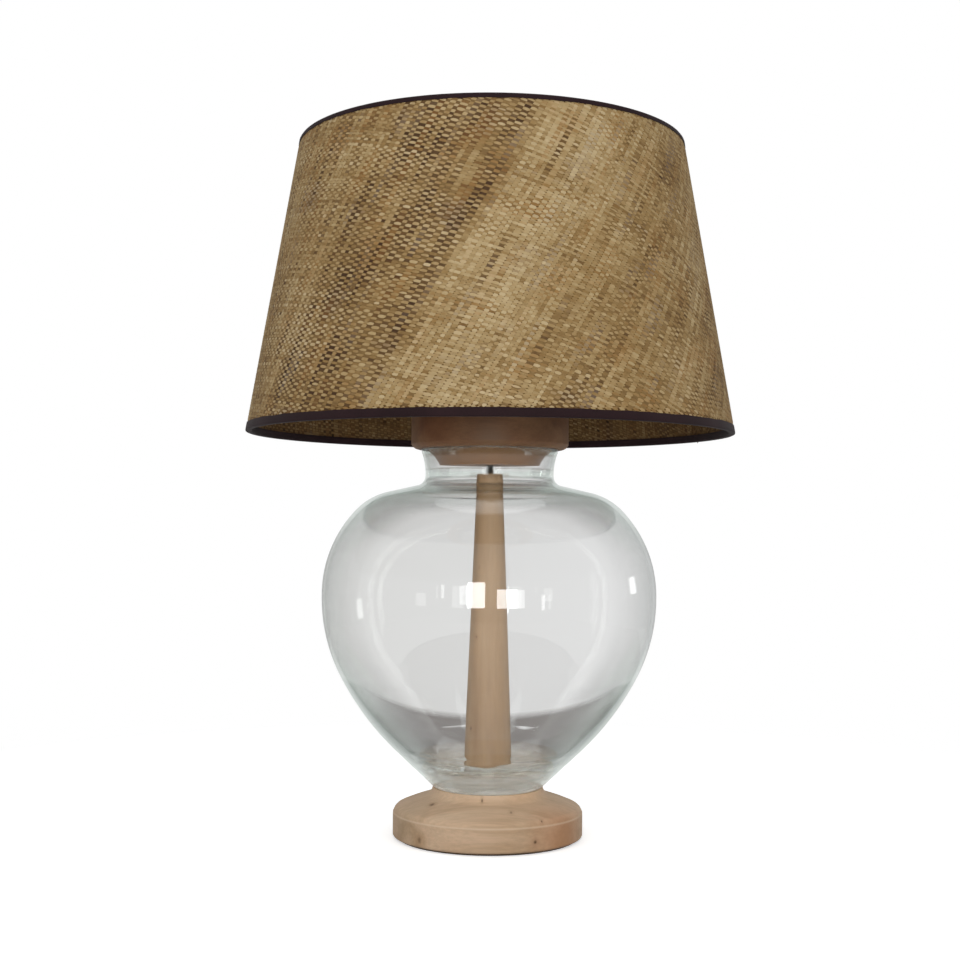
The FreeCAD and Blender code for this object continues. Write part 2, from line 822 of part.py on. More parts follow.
def make_stud():
    boss_bottom = -S.stud_wire_drop - S.stud_boss_below_wire
    stud = turned(
        "harp_stud",
        [
            (0, boss_bottom),
            (S.stud_boss_radius, boss_bottom),
            (S.stud_boss_radius, -S.stud_flange_thickness),
            (S.stud_flange_radius, -S.stud_flange_thickness),
            (S.stud_flange_radius, 0),
            (S.stud_radius, 0),
            (S.stud_radius, S.stud_length),
            (0, S.stud_length),
        ],
    )
    hole = S.harp_wire_radius + S.stud_hole_slack
    reach = S.stud_boss_radius + S.cut_overrun
    for name, reverse in (("wire_hole_right", True), ("wire_hole_left", False)):
        cut_round(stud, "YZ_Plane", name, 0, -S.stud_wire_drop, hole, reach, reverse)
    place(stud, z=HUB_SEAT)
    return [stud]


def make_sleeve(label, side):
    outer = SLEEVE_BORE + S.sleeve_wall
    sleeve = turned(
        label,
        [
            (SLEEVE_BORE, 0),
            (outer + S.sleeve_lip, 0),
            (outer + S.sleeve_lip, S.sleeve_lip_height),
            (outer, S.sleeve_lip_height),
            (outer, S.sleeve_length),
            (SLEEVE_BORE, S.sleeve_length),
        ],
    )
    place(sleeve, x=side * S.saddle_half_span, z=TONGUE_SHOULDER)
    return sleeve


def make_sleeves():
    return [make_sleeve("harp_sleeve_left", -1), make_sleeve("harp_sleeve_right", 1)]


# The lampholder on top of the tube
def make_socket_cap():
    bore = S.tube_radius + S.touch_gap
    inside = S.socket_cap_radius - S.socket_sheet
    floor = S.socket_hub_height + S.socket_sheet
    cap = turned(
        "socket_cap",
        [
            (bore, 0),
            (S.socket_hub_radius, 0),
            (S.socket_hub_radius, S.socket_hub_height),
            (S.socket_cap_radius, S.socket_cap_brow, S.socket_cap_bulge_share),
            (S.socket_cap_radius, S.socket_cap_height),
            (inside, S.socket_cap_height),
            (inside, S.socket_cap_brow),
            (S.socket_hub_radius, floor, -S.socket_cap_bulge_share),
            (bore, floor),
        ],
    )
    place(cap, z=SADDLE_TOP)
    return [cap]


def make_socket_shell():
    lap_bottom = S.socket_cap_height - S.socket_lap
    outer = S.socket_cap_radius
    inner = outer - S.socket_sheet
    shell = turned(
        "socket_shell",
        [
            (SHELL_LAP_INNER, lap_bottom),
            (SHELL_LAP_OUTER, lap_bottom),
            (SHELL_LAP_OUTER, S.socket_cap_height + S.touch_gap),
            (outer, S.socket_cap_height + S.socket_step),
            (outer, S.socket_height - S.socket_bead_height),
            (outer, S.socket_height, S.socket_bead_bulge_share),
            (inner, S.socket_height),
            (inner, S.socket_cap_height + S.socket_step),
            (SHELL_LAP_INNER, S.socket_cap_height + S.touch_gap),
        ],
    )
    hole = S.switch_shaft_radius + S.switch_clearance
    reach = outer + S.cut_overrun
    cut_round(shell, "XZ_Plane", "shell_switch_hole", 0, S.switch_height, hole, reach, True)
    place(shell, z=SADDLE_TOP)
    return [shell]


def make_socket_liner():
    bottom = S.socket_cap_height - S.socket_lap + S.liner_above_lap
    top = S.socket_height - S.liner_below_rim
    liner = turned(
        "socket_liner",
        [(LINER_INNER, bottom), (LINER_OUTER, bottom), (LINER_OUTER, top), (LINER_INNER, top)],
    )
    hole = S.switch_shaft_radius + S.switch_clearance
    reach = LINER_OUTER + S.cut_overrun
    cut_round(liner, "XZ_Plane", "liner_switch_hole", 0, S.switch_height, hole, reach, True)
    place(liner, z=SADDLE_TOP)
    return [liner]


def make_socket_body():
    foot = S.interior_foot
    waist_low = foot + S.interior_waist_low
    waist_high = foot + S.interior_waist_high
    flange = LINER_INNER - S.liner_clearance
    flange_bottom = INTERIOR_TOP - S.interior_flange_thickness
    body = turned(
        "socket_body",
        [
            (0, foot),
            (S.interior_foot_radius, foot),
            (S.interior_radius, waist_low - S.interior_slope),
            (S.interior_waist_radius, waist_low),
            (S.interior_waist_radius, waist_high),
            (S.interior_radius, waist_high + S.interior_slope),
            (S.interior_radius, flange_bottom),
            (flange, flange_bottom),
            (flange, INTERIOR_TOP),
            (0, INTERIOR_TOP),
        ],
    )
    hole = S.switch_shaft_radius + S.switch_clearance
    reach = flange + S.cut_overrun
    cut_round(body, "XZ_Plane", "switch_bore", 0, S.switch_height, hole, reach, True)
    tapped = S.terminal_shank_radius + S.touch_gap
    for name, reverse in (("terminal_hole_right", True), ("terminal_hole_left", False)):
        cut_round(body, "YZ_Plane", name, 0, S.terminal_height, tapped, reach, reverse)
    place(body, z=SADDLE_TOP)
    return [body]


def make_screw_shell():
    outer = S.screw_shell_radius + S.screw_shell_sheet
    shell = ring("screw_shell", S.screw_shell_radius, outer, S.screw_shell_length)
    place(shell, z=SADDLE_TOP + INTERIOR_TOP)
    return [shell]


def make_contact():
    contact = doc.addObject("Part::Box", "Piece_centre_contact")
    contact.Label = "centre_contact"
    bind(contact, "Length", S.contact_length)
    bind(contact, "Width", S.contact_width)
    bind(contact, "Height", S.contact_thickness)
    place(contact, x=-S.contact_length / 2, y=-S.contact_width / 2, z=SADDLE_TOP + INTERIOR_TOP)
    return [contact]


def make_terminal_screws():
    """Two screws, one each side, whose heads stand on the waist of the socket's body."""
    screws = []
    height = SADDLE_TOP + S.terminal_height
    for side, tilt in (("right", 90), ("left", -90)):
        shank = doc.addObject("Part::Cylinder", "terminal_shank_" + side)
        bind(shank, "Radius", S.terminal_shank_radius)
        bind(shank, "Height", S.terminal_shank_length)
        head = doc.addObject("Part::Cylinder", "terminal_head_" + side)
        bind(head, "Radius", S.terminal_head_radius)
        bind(head, "Height", S.terminal_head_length)
        place(head, z=S.terminal_shank_length)
        screw = doc.addObject("Part::Fuse", "terminal_screw_" + side)
        screw.Base = shank
        screw.Tool = head
        inner_end = S.interior_waist_radius - S.terminal_shank_length
        sign = 1 if tilt > 0 else -1
        place(screw, x=sign * inner_end, z=height, turn=Rotation(Vector(0, 1, 0), tilt))
        screws.append(screw)
    pair = doc.addObject("Part::Compound", "Piece_terminal_screws")
    pair.Label = "terminal_screws"
    pair.Links = screws
    return [pair]


# The turn switch in the lampholder
def make_switch():
    outwards = Rotation(Vector(1, 0, 0), 90)
    height = SADDLE_TOP + S.switch_height
    shaft = turned(
        "switch_shaft",
        [
            (0, S.switch_shaft_start),
            (S.switch_shaft_radius, S.switch_shaft_start),
            (S.switch_shaft_radius, S.switch_shaft_end),
            (0, S.switch_shaft_end),
        ],
    )
    place(shaft, z=height, turn=outwards)
    start = S.socket_cap_radius + S.knob_wall_gap
    bore = S.switch_shaft_radius + S.touch_gap
    bore_depth = S.switch_shaft_end - start + S.touch_gap
    knob = turned(
        "switch_knob",
        [
            (bore, 0),
            (S.knob_neck_radius, 0),
            (S.knob_neck_radius, S.knob_neck_length),
            (S.knob_radius, S.knob_neck_length + S.knob_round),
            (S.knob_radius, S.knob_length - S.knob_round),
            (S.knob_radius - S.knob_round, S.knob_length, S.quarter_round_bulge_share),
            (0, S.knob_length),
            (0, bore_depth),
            (bore, bore_depth),
        ],
    )
    flats = new_sketch(knob, "XY_Plane", "knob_flats")
    bind(flats, "AttachmentOffset.Base.z", S.knob_neck_length)
    near = S.knob_grip / 2
    far = S.knob_radius + S.cut_overrun
    for low, high in ((-far, -near), (near, far)):
        draw(flats, [(low, -far), (high, -far), (high, far), (low, far)])
    cut_outline(knob, flats, "knob_grip_cut", S.knob_length, True)
    place(knob, y=-start, z=height, turn=outwards)
    return [shaft, knob]


# The bulb
def make_bulb():
    tip = ring("bulb_contact", ZERO, S.bulb_contact_radius, S.bulb_contact_height)
    insulator_top = S.bulb_contact_height + S.bulb_insulator_height
    insulator = turned(
        "bulb_insulator",
        [
            (0, S.bulb_contact_height),
            (S.bulb_contact_radius, S.bulb_contact_height),
            (S.bulb_thread_radius - S.bulb_insulator_height, insulator_top),
            (0, insulator_top),
        ],
    )
    thread_top = insulator_top + S.bulb_thread_length
    thread = turned(
        "bulb_cap",
        [
            (0, insulator_top),
            (S.bulb_thread_radius, insulator_top),
            (S.bulb_thread_radius, thread_top),
            (0, thread_top),
        ],
    )
    collar_top = thread_top + S.bulb_collar_height
    collar = turned(
        "bulb_collar",
        [
            (0, thread_top),
            (S.bulb_collar_foot_radius, thread_top),
            (S.bulb_collar_radius, collar_top, -S.bulb_collar_bulge_share),
            (0, collar_top),
        ],
    )
    shoulder = collar_top + S.bulb_globe_rise
    crown = shoulder + S.bulb_globe_radius
    inner = S.bulb_globe_radius - S.bulb_wall
    globe = turned(
        "bulb_globe",
        [
            (S.bulb_globe_foot_radius - S.bulb_wall, collar_top),
            (S.bulb_globe_foot_radius, collar_top),
            (S.bulb_globe_radius, shoulder, S.bulb_cheek_bulge_share),
            (S.bulb_crown_flat, crown, S.bulb_crown_bulge_share),
            (0, crown),
            (0, crown - S.bulb_wall),
            (S.bulb_crown_flat, crown - S.bulb_wall),
            (inner, shoulder, -S.bulb_crown_bulge_share),
        ],
    )
    pieces = [tip, insulator, thread, collar, globe]
    for piece in pieces:
        place(piece, z=BULB_SEAT)
    return pieces


# The shade
def shade_outer(height):
    """The woven sheet's outer radius at a height above the shade's bottom edge."""
    return S.shade_radius - S.tape_thickness - S.tape_clearance - SHADE_LEAN * height


def ring_radius(height):
    """The radius of a wire ring that lies against the inside of the weave."""
    room = (S.ring_clearance + S.ring_wire_radius) * SHADE_SLANT
    return shade_outer(height) - S.weave_thickness - room


EDGE_INSET = S.tape_thickness + S.tape_clearance
RING_INSET = S.tape_thickness + S.ring_clearance + S.ring_wire_radius
TOP_RING_HEIGHT = S.shade_height - RING_INSET
# The shade's arms stand clear of the harp's plane
ARM_TURN = Rotation(Vector(0, 0, 1), 90)


def make_shade_fabric():
    top = S.shade_height - EDGE_INSET
    fabric = turned(
        "shade_fabric",
        [
            (shade_outer(EDGE_INSET) - S.weave_thickness, EDGE_INSET),
            (shade_outer(EDGE_INSET), EDGE_INSET),
            (shade_outer(top), top),
            (shade_outer(top) - S.weave_thickness, top),
        ],
    )
    place(fabric, z=SHADE_BOTTOM)
    return [fabric]


def make_rings():
    rings = []
    for label, height in (("bottom_ring", RING_INSET), ("top_ring", TOP_RING_HEIGHT)):
        wire = doc.addObject("Part::Torus", "Piece_" + label)
        wire.Label = label
        bind(wire, "Radius1", ring_radius(height))
        bind(wire, "Radius2", S.ring_wire_radius)
        place(wire, z=SHADE_BOTTOM + height)
        rings.append(wire)
    return rings


def tape_inside(height):
    """The inner radius of a tape's inner flap, which lies against the ring."""
    return ring_radius(height) - S.ring_wire_radius - S.ring_clearance - S.tape_thickness


def make_bottom_tape():
    thin = S.tape_thickness
    flap = S.tape_bottom_flap
    inside = tape_inside(RING_INSET)
    tape = turned(
        "bottom_tape",
        [
            (inside, 0),
            (S.shade_radius, 0),
            (S.shade_radius - SHADE_LEAN * flap, flap),
            (S.shade_radius - SHADE_LEAN * flap - thin, flap),
            (S.shade_radius - SHADE_LEAN * thin - thin, thin),
            (inside + thin, thin),
            (inside + thin, S.tape_inner_flap),
            (inside, S.tape_inner_flap),
        ],
    )
    place(tape, z=SHADE_BOTTOM)
    return [tape]


def make_top_tape():
    """The tape over the top edge. Its inner flap is notched where the spider's arms reach the ring."""
    thin = S.tape_thickness
    top = S.shade_height
    flap = top - S.tape_top_flap
    inner_flap = top - S.tape_inner_flap
    inside = tape_inside(TOP_RING_HEIGHT)
    under = top - thin
    tape = turned(
        "top_tape",
        [
            (inside, inner_flap),
            (inside + thin, inner_flap),
            (inside + thin, under),
            (S.shade_radius - SHADE_LEAN * under - thin, under),
            (S.shade_radius - SHADE_LEAN * flap - thin, flap),
            (S.shade_radius - SHADE_LEAN * flap, flap),
            (S.shade_radius - SHADE_LEAN * top, top),
            (inside, top),
        ],
    )
    notch = new_sketch(tape, "XY_Plane", "notch_outline")
    bind(notch, "AttachmentOffset.Base.z", inner_flap - S.cut_overrun)
    half = S.spider_wire_radius + S.spider_notch_gap
    near = inside - S.cut_overrun
    far = inside + thin + S.touch_gap
    draw(notch, [(near, -half), (far, -half), (far, half), (near, half)])
    depth = S.tape_inner_flap - thin + S.cut_overrun
    pocket = cut_outline(tape, notch, "notch", depth, True)
    spread = tape.newObject("PartDesign::PolarPattern", "notches")
    spread.Originals = [pocket]
    spread.Axis = (notch, ["N_Axis"])
    spread.Angle = 360
    bind(spread, "Occurrences", S.spider_arm_count)
    tape.Tip = spread
    place(tape, z=SHADE_BOTTOM, turn=ARM_TURN)
    return [tape]


def make_spider():
    bore = S.stud_radius + S.touch_gap
    hub = ring("spider_hub", bore, S.spider_hub_radius, S.spider_hub_thickness)
    place(hub, z=HUB_SEAT)
    low = -S.touch_gap - S.spider_wire_radius
    ring_height = SHADE_BOTTOM + TOP_RING_HEIGHT - HUB_SEAT
    ring_point = Vector(ring_radius(TOP_RING_HEIGHT).value, 0, ring_height.value)
    elbow = Vector(ring_point.x - S.spider_rise_run.value, 0, low.value)
    rise = Vector(ring_point - elbow).normalize()
    end = ring_point - rise * (S.ring_wire_radius + S.touch_gap).value
    path = bent_wire([Vector(S.spider_start.value, 0, low.value), elbow, end], S.harp_bend_share.value)
    arm = rod_along(path, S.spider_wire_radius.value)
    arms = []
    count = int(S.spider_arm_count.value)
    for index in range(count):
        copy = arm.copy()
        copy.rotate(Vector(0, 0, 0), Vector(0, 0, 1), ARM_TURN.Angle * 180 / math.pi + 360 / count * index)
        arms.append(copy)
    spider = fixed_shape("spider_arms", Part.makeCompound(arms))
    place(spider, z=HUB_SEAT)
    return [hub, spider]


def make_finial():
    bore = S.stud_radius + S.touch_gap
    finial = turned(
        "finial",
        [
            (bore, 0),
            (S.finial_foot_radius, 0),
            (S.finial_foot_radius, S.finial_foot_height),
            (S.finial_neck_radius, S.finial_neck_height, -S.finial_neck_bulge_share),
            (S.finial_ball_radius, S.finial_ball_height, S.finial_ball_bulge_share),
            (S.finial_tip_radius, S.finial_height, S.finial_ball_bulge_share),
            (0, S.finial_height),
            (0, S.finial_bore_depth),
            (bore, S.finial_bore_depth),
        ],
    )
    place(finial, z=HUB_SEAT + S.spider_hub_thickness)
    return [finial]


MAKERS = [
    make_pad,
    make_turned_base,
    make_cord_bush,
    make_fasteners,
    make_tube,
    make_gaskets,
    make_jar,
    make_column,
    make_stopper,
    make_saddle,
    make_harp,
    make_stud,
    make_sleeves,
    make_socket_cap,
    make_socket_shell,
    make_socket_liner,
    make_socket_body,
    make_screw_shell,
    make_contact,
    make_terminal_screws,
    make_switch,
    make_bulb,
    make_shade_fabric,
    make_rings,
    make_bottom_tape,
    make_top_tape,
    make_spider,
    make_finial,
]


def check(pieces):
    """Stop before anything is written if an object failed or a piece is not a sound solid."""
    for thing in doc.Objects:
        if "Invalid" in thing.State or "Error" in thing.State:
            raise ValueError(thing.Name + " failed: " + str(thing.State))
    for piece in pieces:
        shape = piece.Shape
        if shape.isNull() or not shape.isValid() or not shape.Solids:
            raise ValueError(piece.Label + " is not a sound solid")


def main():
    pieces = []
    for make in MAKERS:
        pieces += make()
    doc.recompute()
    check(pieces)
    os.makedirs("parts", exist_ok=True)
    for piece in pieces:
        piece.Shape.exportStep("parts/" + piece.Label + ".step")
        box = piece.Shape.BoundBox
        print(
            piece.Label.ljust(20),
            len(piece.Shape.Solids),
            round(piece.Shape.Volume, 1),
            [round(side, 2) for side in (box.XMin, box.XMax, box.YMin, box.YMax, box.ZMin, box.ZMax)],
        )


main()
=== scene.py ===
import math

import bpy
import numpy as np
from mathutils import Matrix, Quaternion, Vector


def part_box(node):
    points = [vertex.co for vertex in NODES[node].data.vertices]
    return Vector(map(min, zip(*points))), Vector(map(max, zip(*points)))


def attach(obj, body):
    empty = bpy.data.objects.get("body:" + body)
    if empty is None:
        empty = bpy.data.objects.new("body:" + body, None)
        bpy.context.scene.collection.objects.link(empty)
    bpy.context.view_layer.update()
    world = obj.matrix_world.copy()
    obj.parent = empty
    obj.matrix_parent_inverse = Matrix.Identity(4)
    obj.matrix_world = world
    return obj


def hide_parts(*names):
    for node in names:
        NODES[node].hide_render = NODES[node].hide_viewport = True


# A bedside lamp: woven raffia shade, clear blown jar, turned wood, and metal inside the shade.
# Metres, in the CAD frame: +Z up, -Y the front, the origin on the surface under the lamp.

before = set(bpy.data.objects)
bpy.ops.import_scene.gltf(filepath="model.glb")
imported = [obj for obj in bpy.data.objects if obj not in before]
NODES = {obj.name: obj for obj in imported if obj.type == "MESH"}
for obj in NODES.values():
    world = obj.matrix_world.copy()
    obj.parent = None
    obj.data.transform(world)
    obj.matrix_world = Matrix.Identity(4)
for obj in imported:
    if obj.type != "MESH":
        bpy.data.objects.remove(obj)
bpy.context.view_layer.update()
MM = 0.001

# The camera that a fit to the photograph's rims gives
FRAME_PX = 960
FOCAL_PX = 1468.5
SENSOR_WIDTH = 36.0
CAMERA_PLACE = (-0.0081, -1.3674, 0.2822)
CAMERA_PITCH = math.radians(1.97)
CAMERA_ROLL = math.radians(0.387)
CAMERA_YAW = math.radians(0.039)
CAMERA_CLIP = (0.05, 50)

# What the room gives: light for matt surfaces, a grey for gloss, two pale walls behind the glass
WHITE = (1.0, 1.0, 1.0)
ROOM_LEVEL = 0.60
GLOSS_GREY = (0.45, 0.45, 0.45)
WALL_LEFT = (0.72, 0.71, 0.70)
WALL_RIGHT = (0.85, 0.84, 0.855)
WALL_BLEND = 0.2

# The floor: a pale table with a darker band behind the lamp, plain for diffuse rays and in part
# for glossy ones
FLOOR_REACH = 0.95
PALE_TABLE = (0.80, 0.80, 0.80)
BAND_BEHIND = (0.26, 0.235, 0.232)
# Each edge of the band, with half the width of its soft step
BAND_FROM = (0.10, 0.02)
BAND_TO = (0.50, 0.03)
BAND_LEFT = (-0.19, 0.04)
BAND_RIGHT = (0.27, -0.04)
PLAIN_FLOOR = (0.22, 0.21, 0.20)
PLAIN_IN_GLOSS = 0.45
FLOOR_GLOW = 0.5
SHADOW_REACH = (0.3, 0.8)

# Window panes behind the camera, as the glass mirrors them: left, right, low, high and radiance
PANE_DISTANCE = 3.2
PANES = [
    (-0.84, -0.20, -0.03, 1.06, 10.0),
    (-1.46, -1.00, -0.03, 0.90, 1.0),
    (0.23, 1.00, -0.05, 0.69, 8.0),
    (1.00, 1.31, -0.05, 0.69, 2.5),
    (-3.60, -3.00, -0.03, 0.58, 1.0),
    (2.17, 2.33, -0.18, 0.44, 3.0),
    (2.58, 2.70, -0.18, 0.44, 1.0),
]
# The other lights: name, place, target, width, height and radiance
SOFT_LIGHTS = [
    ("overhead", (0, -0.3, 3.0), (0, 0, 0.35), 2.6, 2.6, 0.6),
    ("side_window", (3.0, 1.25, 0.45), (0, 0, 0.25), 0.40, 0.45, 3.0),
]

# The weave, cut flat from hand-woven cloth. The strands lean to the shade's front line.
WARP_LEAN = math.radians(30)
WEFT_LEAN = math.radians(17)
WARP_PITCH = 4.9 * MM
WEFT_PITCH = 2.47 * MM
WARP_SPREAD = 0.2
WEFT_SPREAD = 0.1
WARP_FILL = 0.94
WEFT_FILL = 0.90
WEAVE_SEED = 11
CLOUD_WAVES = 7
CLOUD_LEVEL = 2.6
STRAND_RELIEF = 0.26 * MM
STRAND_CROWN = 0.2 * MM
STRAND_LEAN = 0.05 * MM
SWELL_OVER = 1.08
SWELL_UNDER = 0.8
STRAND_SWAY = 0.7 * MM
STRAND_FAN = 0.12
WEAVE_SWELL = 0.35 * MM
SWELL_REACH = 3 * MM
SHEET_MARGIN = 1.0 * MM
RIM_STEPS = 90
RIM_MARGIN = 0.08
FILM_MARGIN = 1.5 * MM
FILM_HALF = 0.03 * MM
SEAM_TURN = math.radians(115)
# Bands of the cloth from left to right: where each one starts, its warps' width, tone, unevenness
WARP_BANDS = [
    (-0.60, 0.92, 0.50, 0.07),
    (0.36, 0.86, 0.52, 0.07),
    (0.448, 0.95, 0.46, 0.08),
    (0.506, 1.08, 0.30, 0.10),
    (0.580, 1.08, 0.30, 0.10),
    (0.588, 0.92, 0.78, 0.10),
    (0.661, 0.88, 0.75, 0.10),
    (0.700, 0.92, 0.59, 0.09),
    (0.817, 0.95, 0.48, 0.08),
]

# The jar in millimetres: wall, floor and bore as in the CAD model, lip and floor's rounding as seen
JAR_WALL = 3.5
JAR_FLANK_WALL = 7.5
JAR_FLOOR = 18.0
JAR_FLOOR_ROUND = 28.0
JAR_HEIGHT = 311.0
JAR_LIP = 2.7
JAR_BORE = 6.0
JAR_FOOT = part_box("glass_jar")[0].z

# The tapes folded over the shade's edges, as in the CAD model
TAPE_THICKNESS = 0.4 * MM
BOTTOM_FLAP = 7.5 * MM
TOP_FLAP = 4.5 * MM
INNER_FLAP = 7.0 * MM
TAPE_LAP = 0.3 * MM
TAPE_LAP_REACH = 6 * MM

# Threads of the tube and of the bulb's cap: pitch and depth
TUBE_THREAD = (1.0 * MM, 0.5 * MM)
CAP_THREAD = (3.6 * MM, 1.0 * MM)

# Angles in degrees past which an edge stays sharp
CLOTH_CREASE = 40
THREAD_CREASE = 50
ROUND_CREASE = 60

# How many steps the turned meshes take round the axis
JAR_SEGMENTS = 192
SHEET_SEGMENTS = 240
TAPE_SEGMENTS = 720
TUBE_SEGMENTS = 48
CAP_SEGMENTS = 96


def linear(red, green, blue):
    """A colour given as 0 to 255 in sRGB, as the shader wants it."""
    values = []
    for value in (red, green, blue):
        share = value / 255
        values.append(share / 12.92 if share <= 0.04045 else ((share + 0.055) / 1.055) ** 2.4)
    return (*values, 1.0)


# Materials
class Shader:
    """The node tree of a material, or of the world, built with short calls."""

    def __init__(self, name, world=False):
        self.owner = (bpy.data.worlds if world else bpy.data.materials).new(name)
        self.owner.use_nodes = True
        self.tree = self.owner.node_tree
        self.tree.nodes.clear()
        self.output = self.node("OutputWorld" if world else "OutputMaterial")

    def node(self, kind, inputs=None, **settings):
        made = self.tree.nodes.new("ShaderNode" + kind)
        for name, value in settings.items():
            setattr(made, name, value)
        for name, value in (inputs or {}).items():
            self.feed(made.inputs[name], value)
        return made

    def feed(self, socket, value):
        if isinstance(value, bpy.types.NodeSocket):
            self.tree.links.new(value, socket)
        else:
            socket.default_value = value

    def maths(self, operation, first, second=0.0, third=0.0):
        inputs = {0: first, 1: second, 2: third}
        return self.node("Math", inputs, operation=operation).outputs[0]

    def times(self, first, second, plus=None):
        if plus is None:
            return self.maths("MULTIPLY", first, second)
        return self.maths("MULTIPLY_ADD", first, second, plus)

    def part(self, vector, axis):
        """One of a vector's three numbers."""
        return self.node("SeparateXYZ", {0: vector}).outputs[axis]

    def measure(self, operation, first, second=(0, 0, 0)):
        """LENGTH of one vector, or DISTANCE or DOT_PRODUCT of two."""
        inputs = {0: first, 1: second}
        return self.node("VectorMath", inputs, operation=operation).outputs["Value"]

    def place(self):
        """Object coordinates, which are the frame's own."""
        return self.node("TexCoord").outputs["Object"]

    def position(self, stretch=(1, 1, 1), turn=(0, 0, 0), shift=(0, 0, 0)):
        """Object coordinates, stretched, turned and moved."""
        inputs = {"Vector": self.place(), "Location": shift, "Rotation": turn, "Scale": stretch}
        return self.node("Mapping", inputs).outputs[0]

    def noise(self, vector, scale, detail=3.0, roughness=0.5, distortion=0.0):
        inputs = {"Vector": vector, "Scale": scale, "Detail": detail, "Roughness": roughness}
        inputs["Distortion"] = distortion
        return self.node("TexNoise", inputs).outputs[0]

    def clouds(self, *settings):
        """Noise over the object's own coordinates."""
        return self.noise(self.position(), *settings)

    def spread(self, value, low, high, to_low=0.0, to_high=1.0):
        """A value between low and high, spread over another range and held inside it."""
        inputs = {"Value": value, "From Min": low, "From Max": high}
        inputs.update({"To Min": to_low, "To Max": to_high})
        return self.node("MapRange", inputs).outputs[0]

    def ramp(self, value, stops):
        """A colour from stops of (place, colour as 0 to 255)."""
        made = self.node("ValToRGB", {"Fac": value})
        elements = made.color_ramp.elements
        while len(elements) < len(stops):
            elements.new(0.5)
        for element, (place, colour) in zip(elements, stops):
            element.position = place
            element.color = linear(*colour)
        return made.outputs[0]

    def mix(self, share, first, second, blend="MIX"):
        made = self.node("Mix", data_type="RGBA", blend_type=blend)
        self.feed(made.inputs["Factor"], share)
        self.feed(made.inputs[6], first)
        self.feed(made.inputs[7], second)
        return made.outputs[2]

    def bump(self, height, distance, strength=1.0):
        inputs = {"Height": height, "Distance": distance, "Strength": strength}
        return self.node("Bump", inputs).outputs[0]

    def principled(self, **values):
        """The main shader, with its inputs given by name and an underscore for each space."""
        inputs = {name.replace("_", " "): value for name, value in values.items()}
        return self.node("BsdfPrincipled", inputs).outputs[0]

    def closure(self, kind, colour, **values):
        """A simple surface, volume or background of one colour."""
        return self.node(kind, {"Color": colour, **values}).outputs[0]

    def blend(self, share, first, second):
        """Two closures, the second by its share."""
        return self.node("MixShader", {0: share, 1: first, 2: second}).outputs[0]

    def finish(self, result, end="Surface"):
        self.feed(self.output.inputs[end], result)
        return self.owner


KNOT_HALO = linear(146, 106, 70)
KNOT_HEART = linear(84, 58, 38)
# A pale line painted along an arris: a painted highlight
ARRIS_PAINTED_HIGHLIGHT = linear(232, 212, 186)


def turned_wood(name, along, tones, knots, seed, streak=0.5, patches=(), arris=None, lean=0.0):
    """Turned wood: growth bands and fibres that run along one axis, and small dark knots."""
    shader = Shader(name)
    squeeze = [0.06 if axis == along else 1.0 for axis in "XYZ"]
    shift = (seed * 1.7, seed * 0.9, seed * 2.3)
    grain = shader.position(squeeze, (0, lean, 0), shift)
    warp = shader.noise(shader.position(shift=shift), 9.0, 2.0)
    bands = shader.noise(grain, 34.0, 4.0, 0.55, 0.6)
    fibres = shader.noise(grain, 420.0, 3.0, 0.6)
    pores = shader.noise(grain, 1500.0, 2.0, 0.5)
    value = shader.times(bands, 0.62, shader.times(warp, 0.38))
    stops = zip((0.0, 0.45, 1.0), tones)
    colour = shader.ramp(shader.spread(value, 0.36, 0.66), list(stops))
    fine = shader.spread(fibres, 0.3, 0.7, 0.86, 1.08)
    colour = shader.mix(streak, colour, shader.mix(1.0, colour, fine, "MULTIPLY"))
    specks = shader.spread(pores, 0.6, 0.72, 0.0, 0.3)
    colour = shader.mix(specks, colour, linear(*tones[0]))
    shape = shader.place()
    # Patches of tint, or of painted light where the caller gives them
    for place, radius, strength, tint in patches:
        radius = radius * MM
        offset = shader.measure("DISTANCE", shape, place)
        share = shader.spread(offset, radius * 0.3, radius, strength, 0.0)
        colour = shader.mix(share, colour, linear(*tint))
    wobble = shader.noise(shape, 260.0, 2.0)
    for place, radius, stretch, strength in knots:
        radius = radius * MM
        back = [-part * scale for part, scale in zip(place, stretch)]
        moved = shader.node("Mapping", {"Vector": shape, "Location": back, "Scale": stretch})
        reach = shader.measure("LENGTH", moved.outputs[0])
        ragged = shader.times(wobble, radius, reach)
        halo = shader.spread(ragged, radius * 1.1, radius * 3.2, 0.35 * strength, 0.0)
        heart = shader.spread(ragged, radius * 0.7, radius * 1.5, strength, 0.0)
        colour = shader.mix(halo, colour, KNOT_HALO)
        colour = shader.mix(heart, colour, KNOT_HEART)
    # Painted highlight: a pale line at the given height
    if arris is not None:
        offset = shader.maths("ABSOLUTE", shader.maths("SUBTRACT", shader.part(shape, 2), arris))
        share = shader.spread(offset, 0.2 * MM, 1.3 * MM, 0.38, 0.0)
        colour = shader.mix(share, colour, ARRIS_PAINTED_HIGHLIGHT)
    height = shader.times(fibres, 0.6, shader.times(bands, 0.4))
    surface = shader.principled(
        Base_Color=colour,
        Roughness=shader.spread(bands, 0.3, 0.7, 0.5, 0.62),
        Specular_IOR_Level=0.35,
        Normal=shader.bump(height, 0.12 * MM, 0.6),
    )
    return shader.finish(surface)


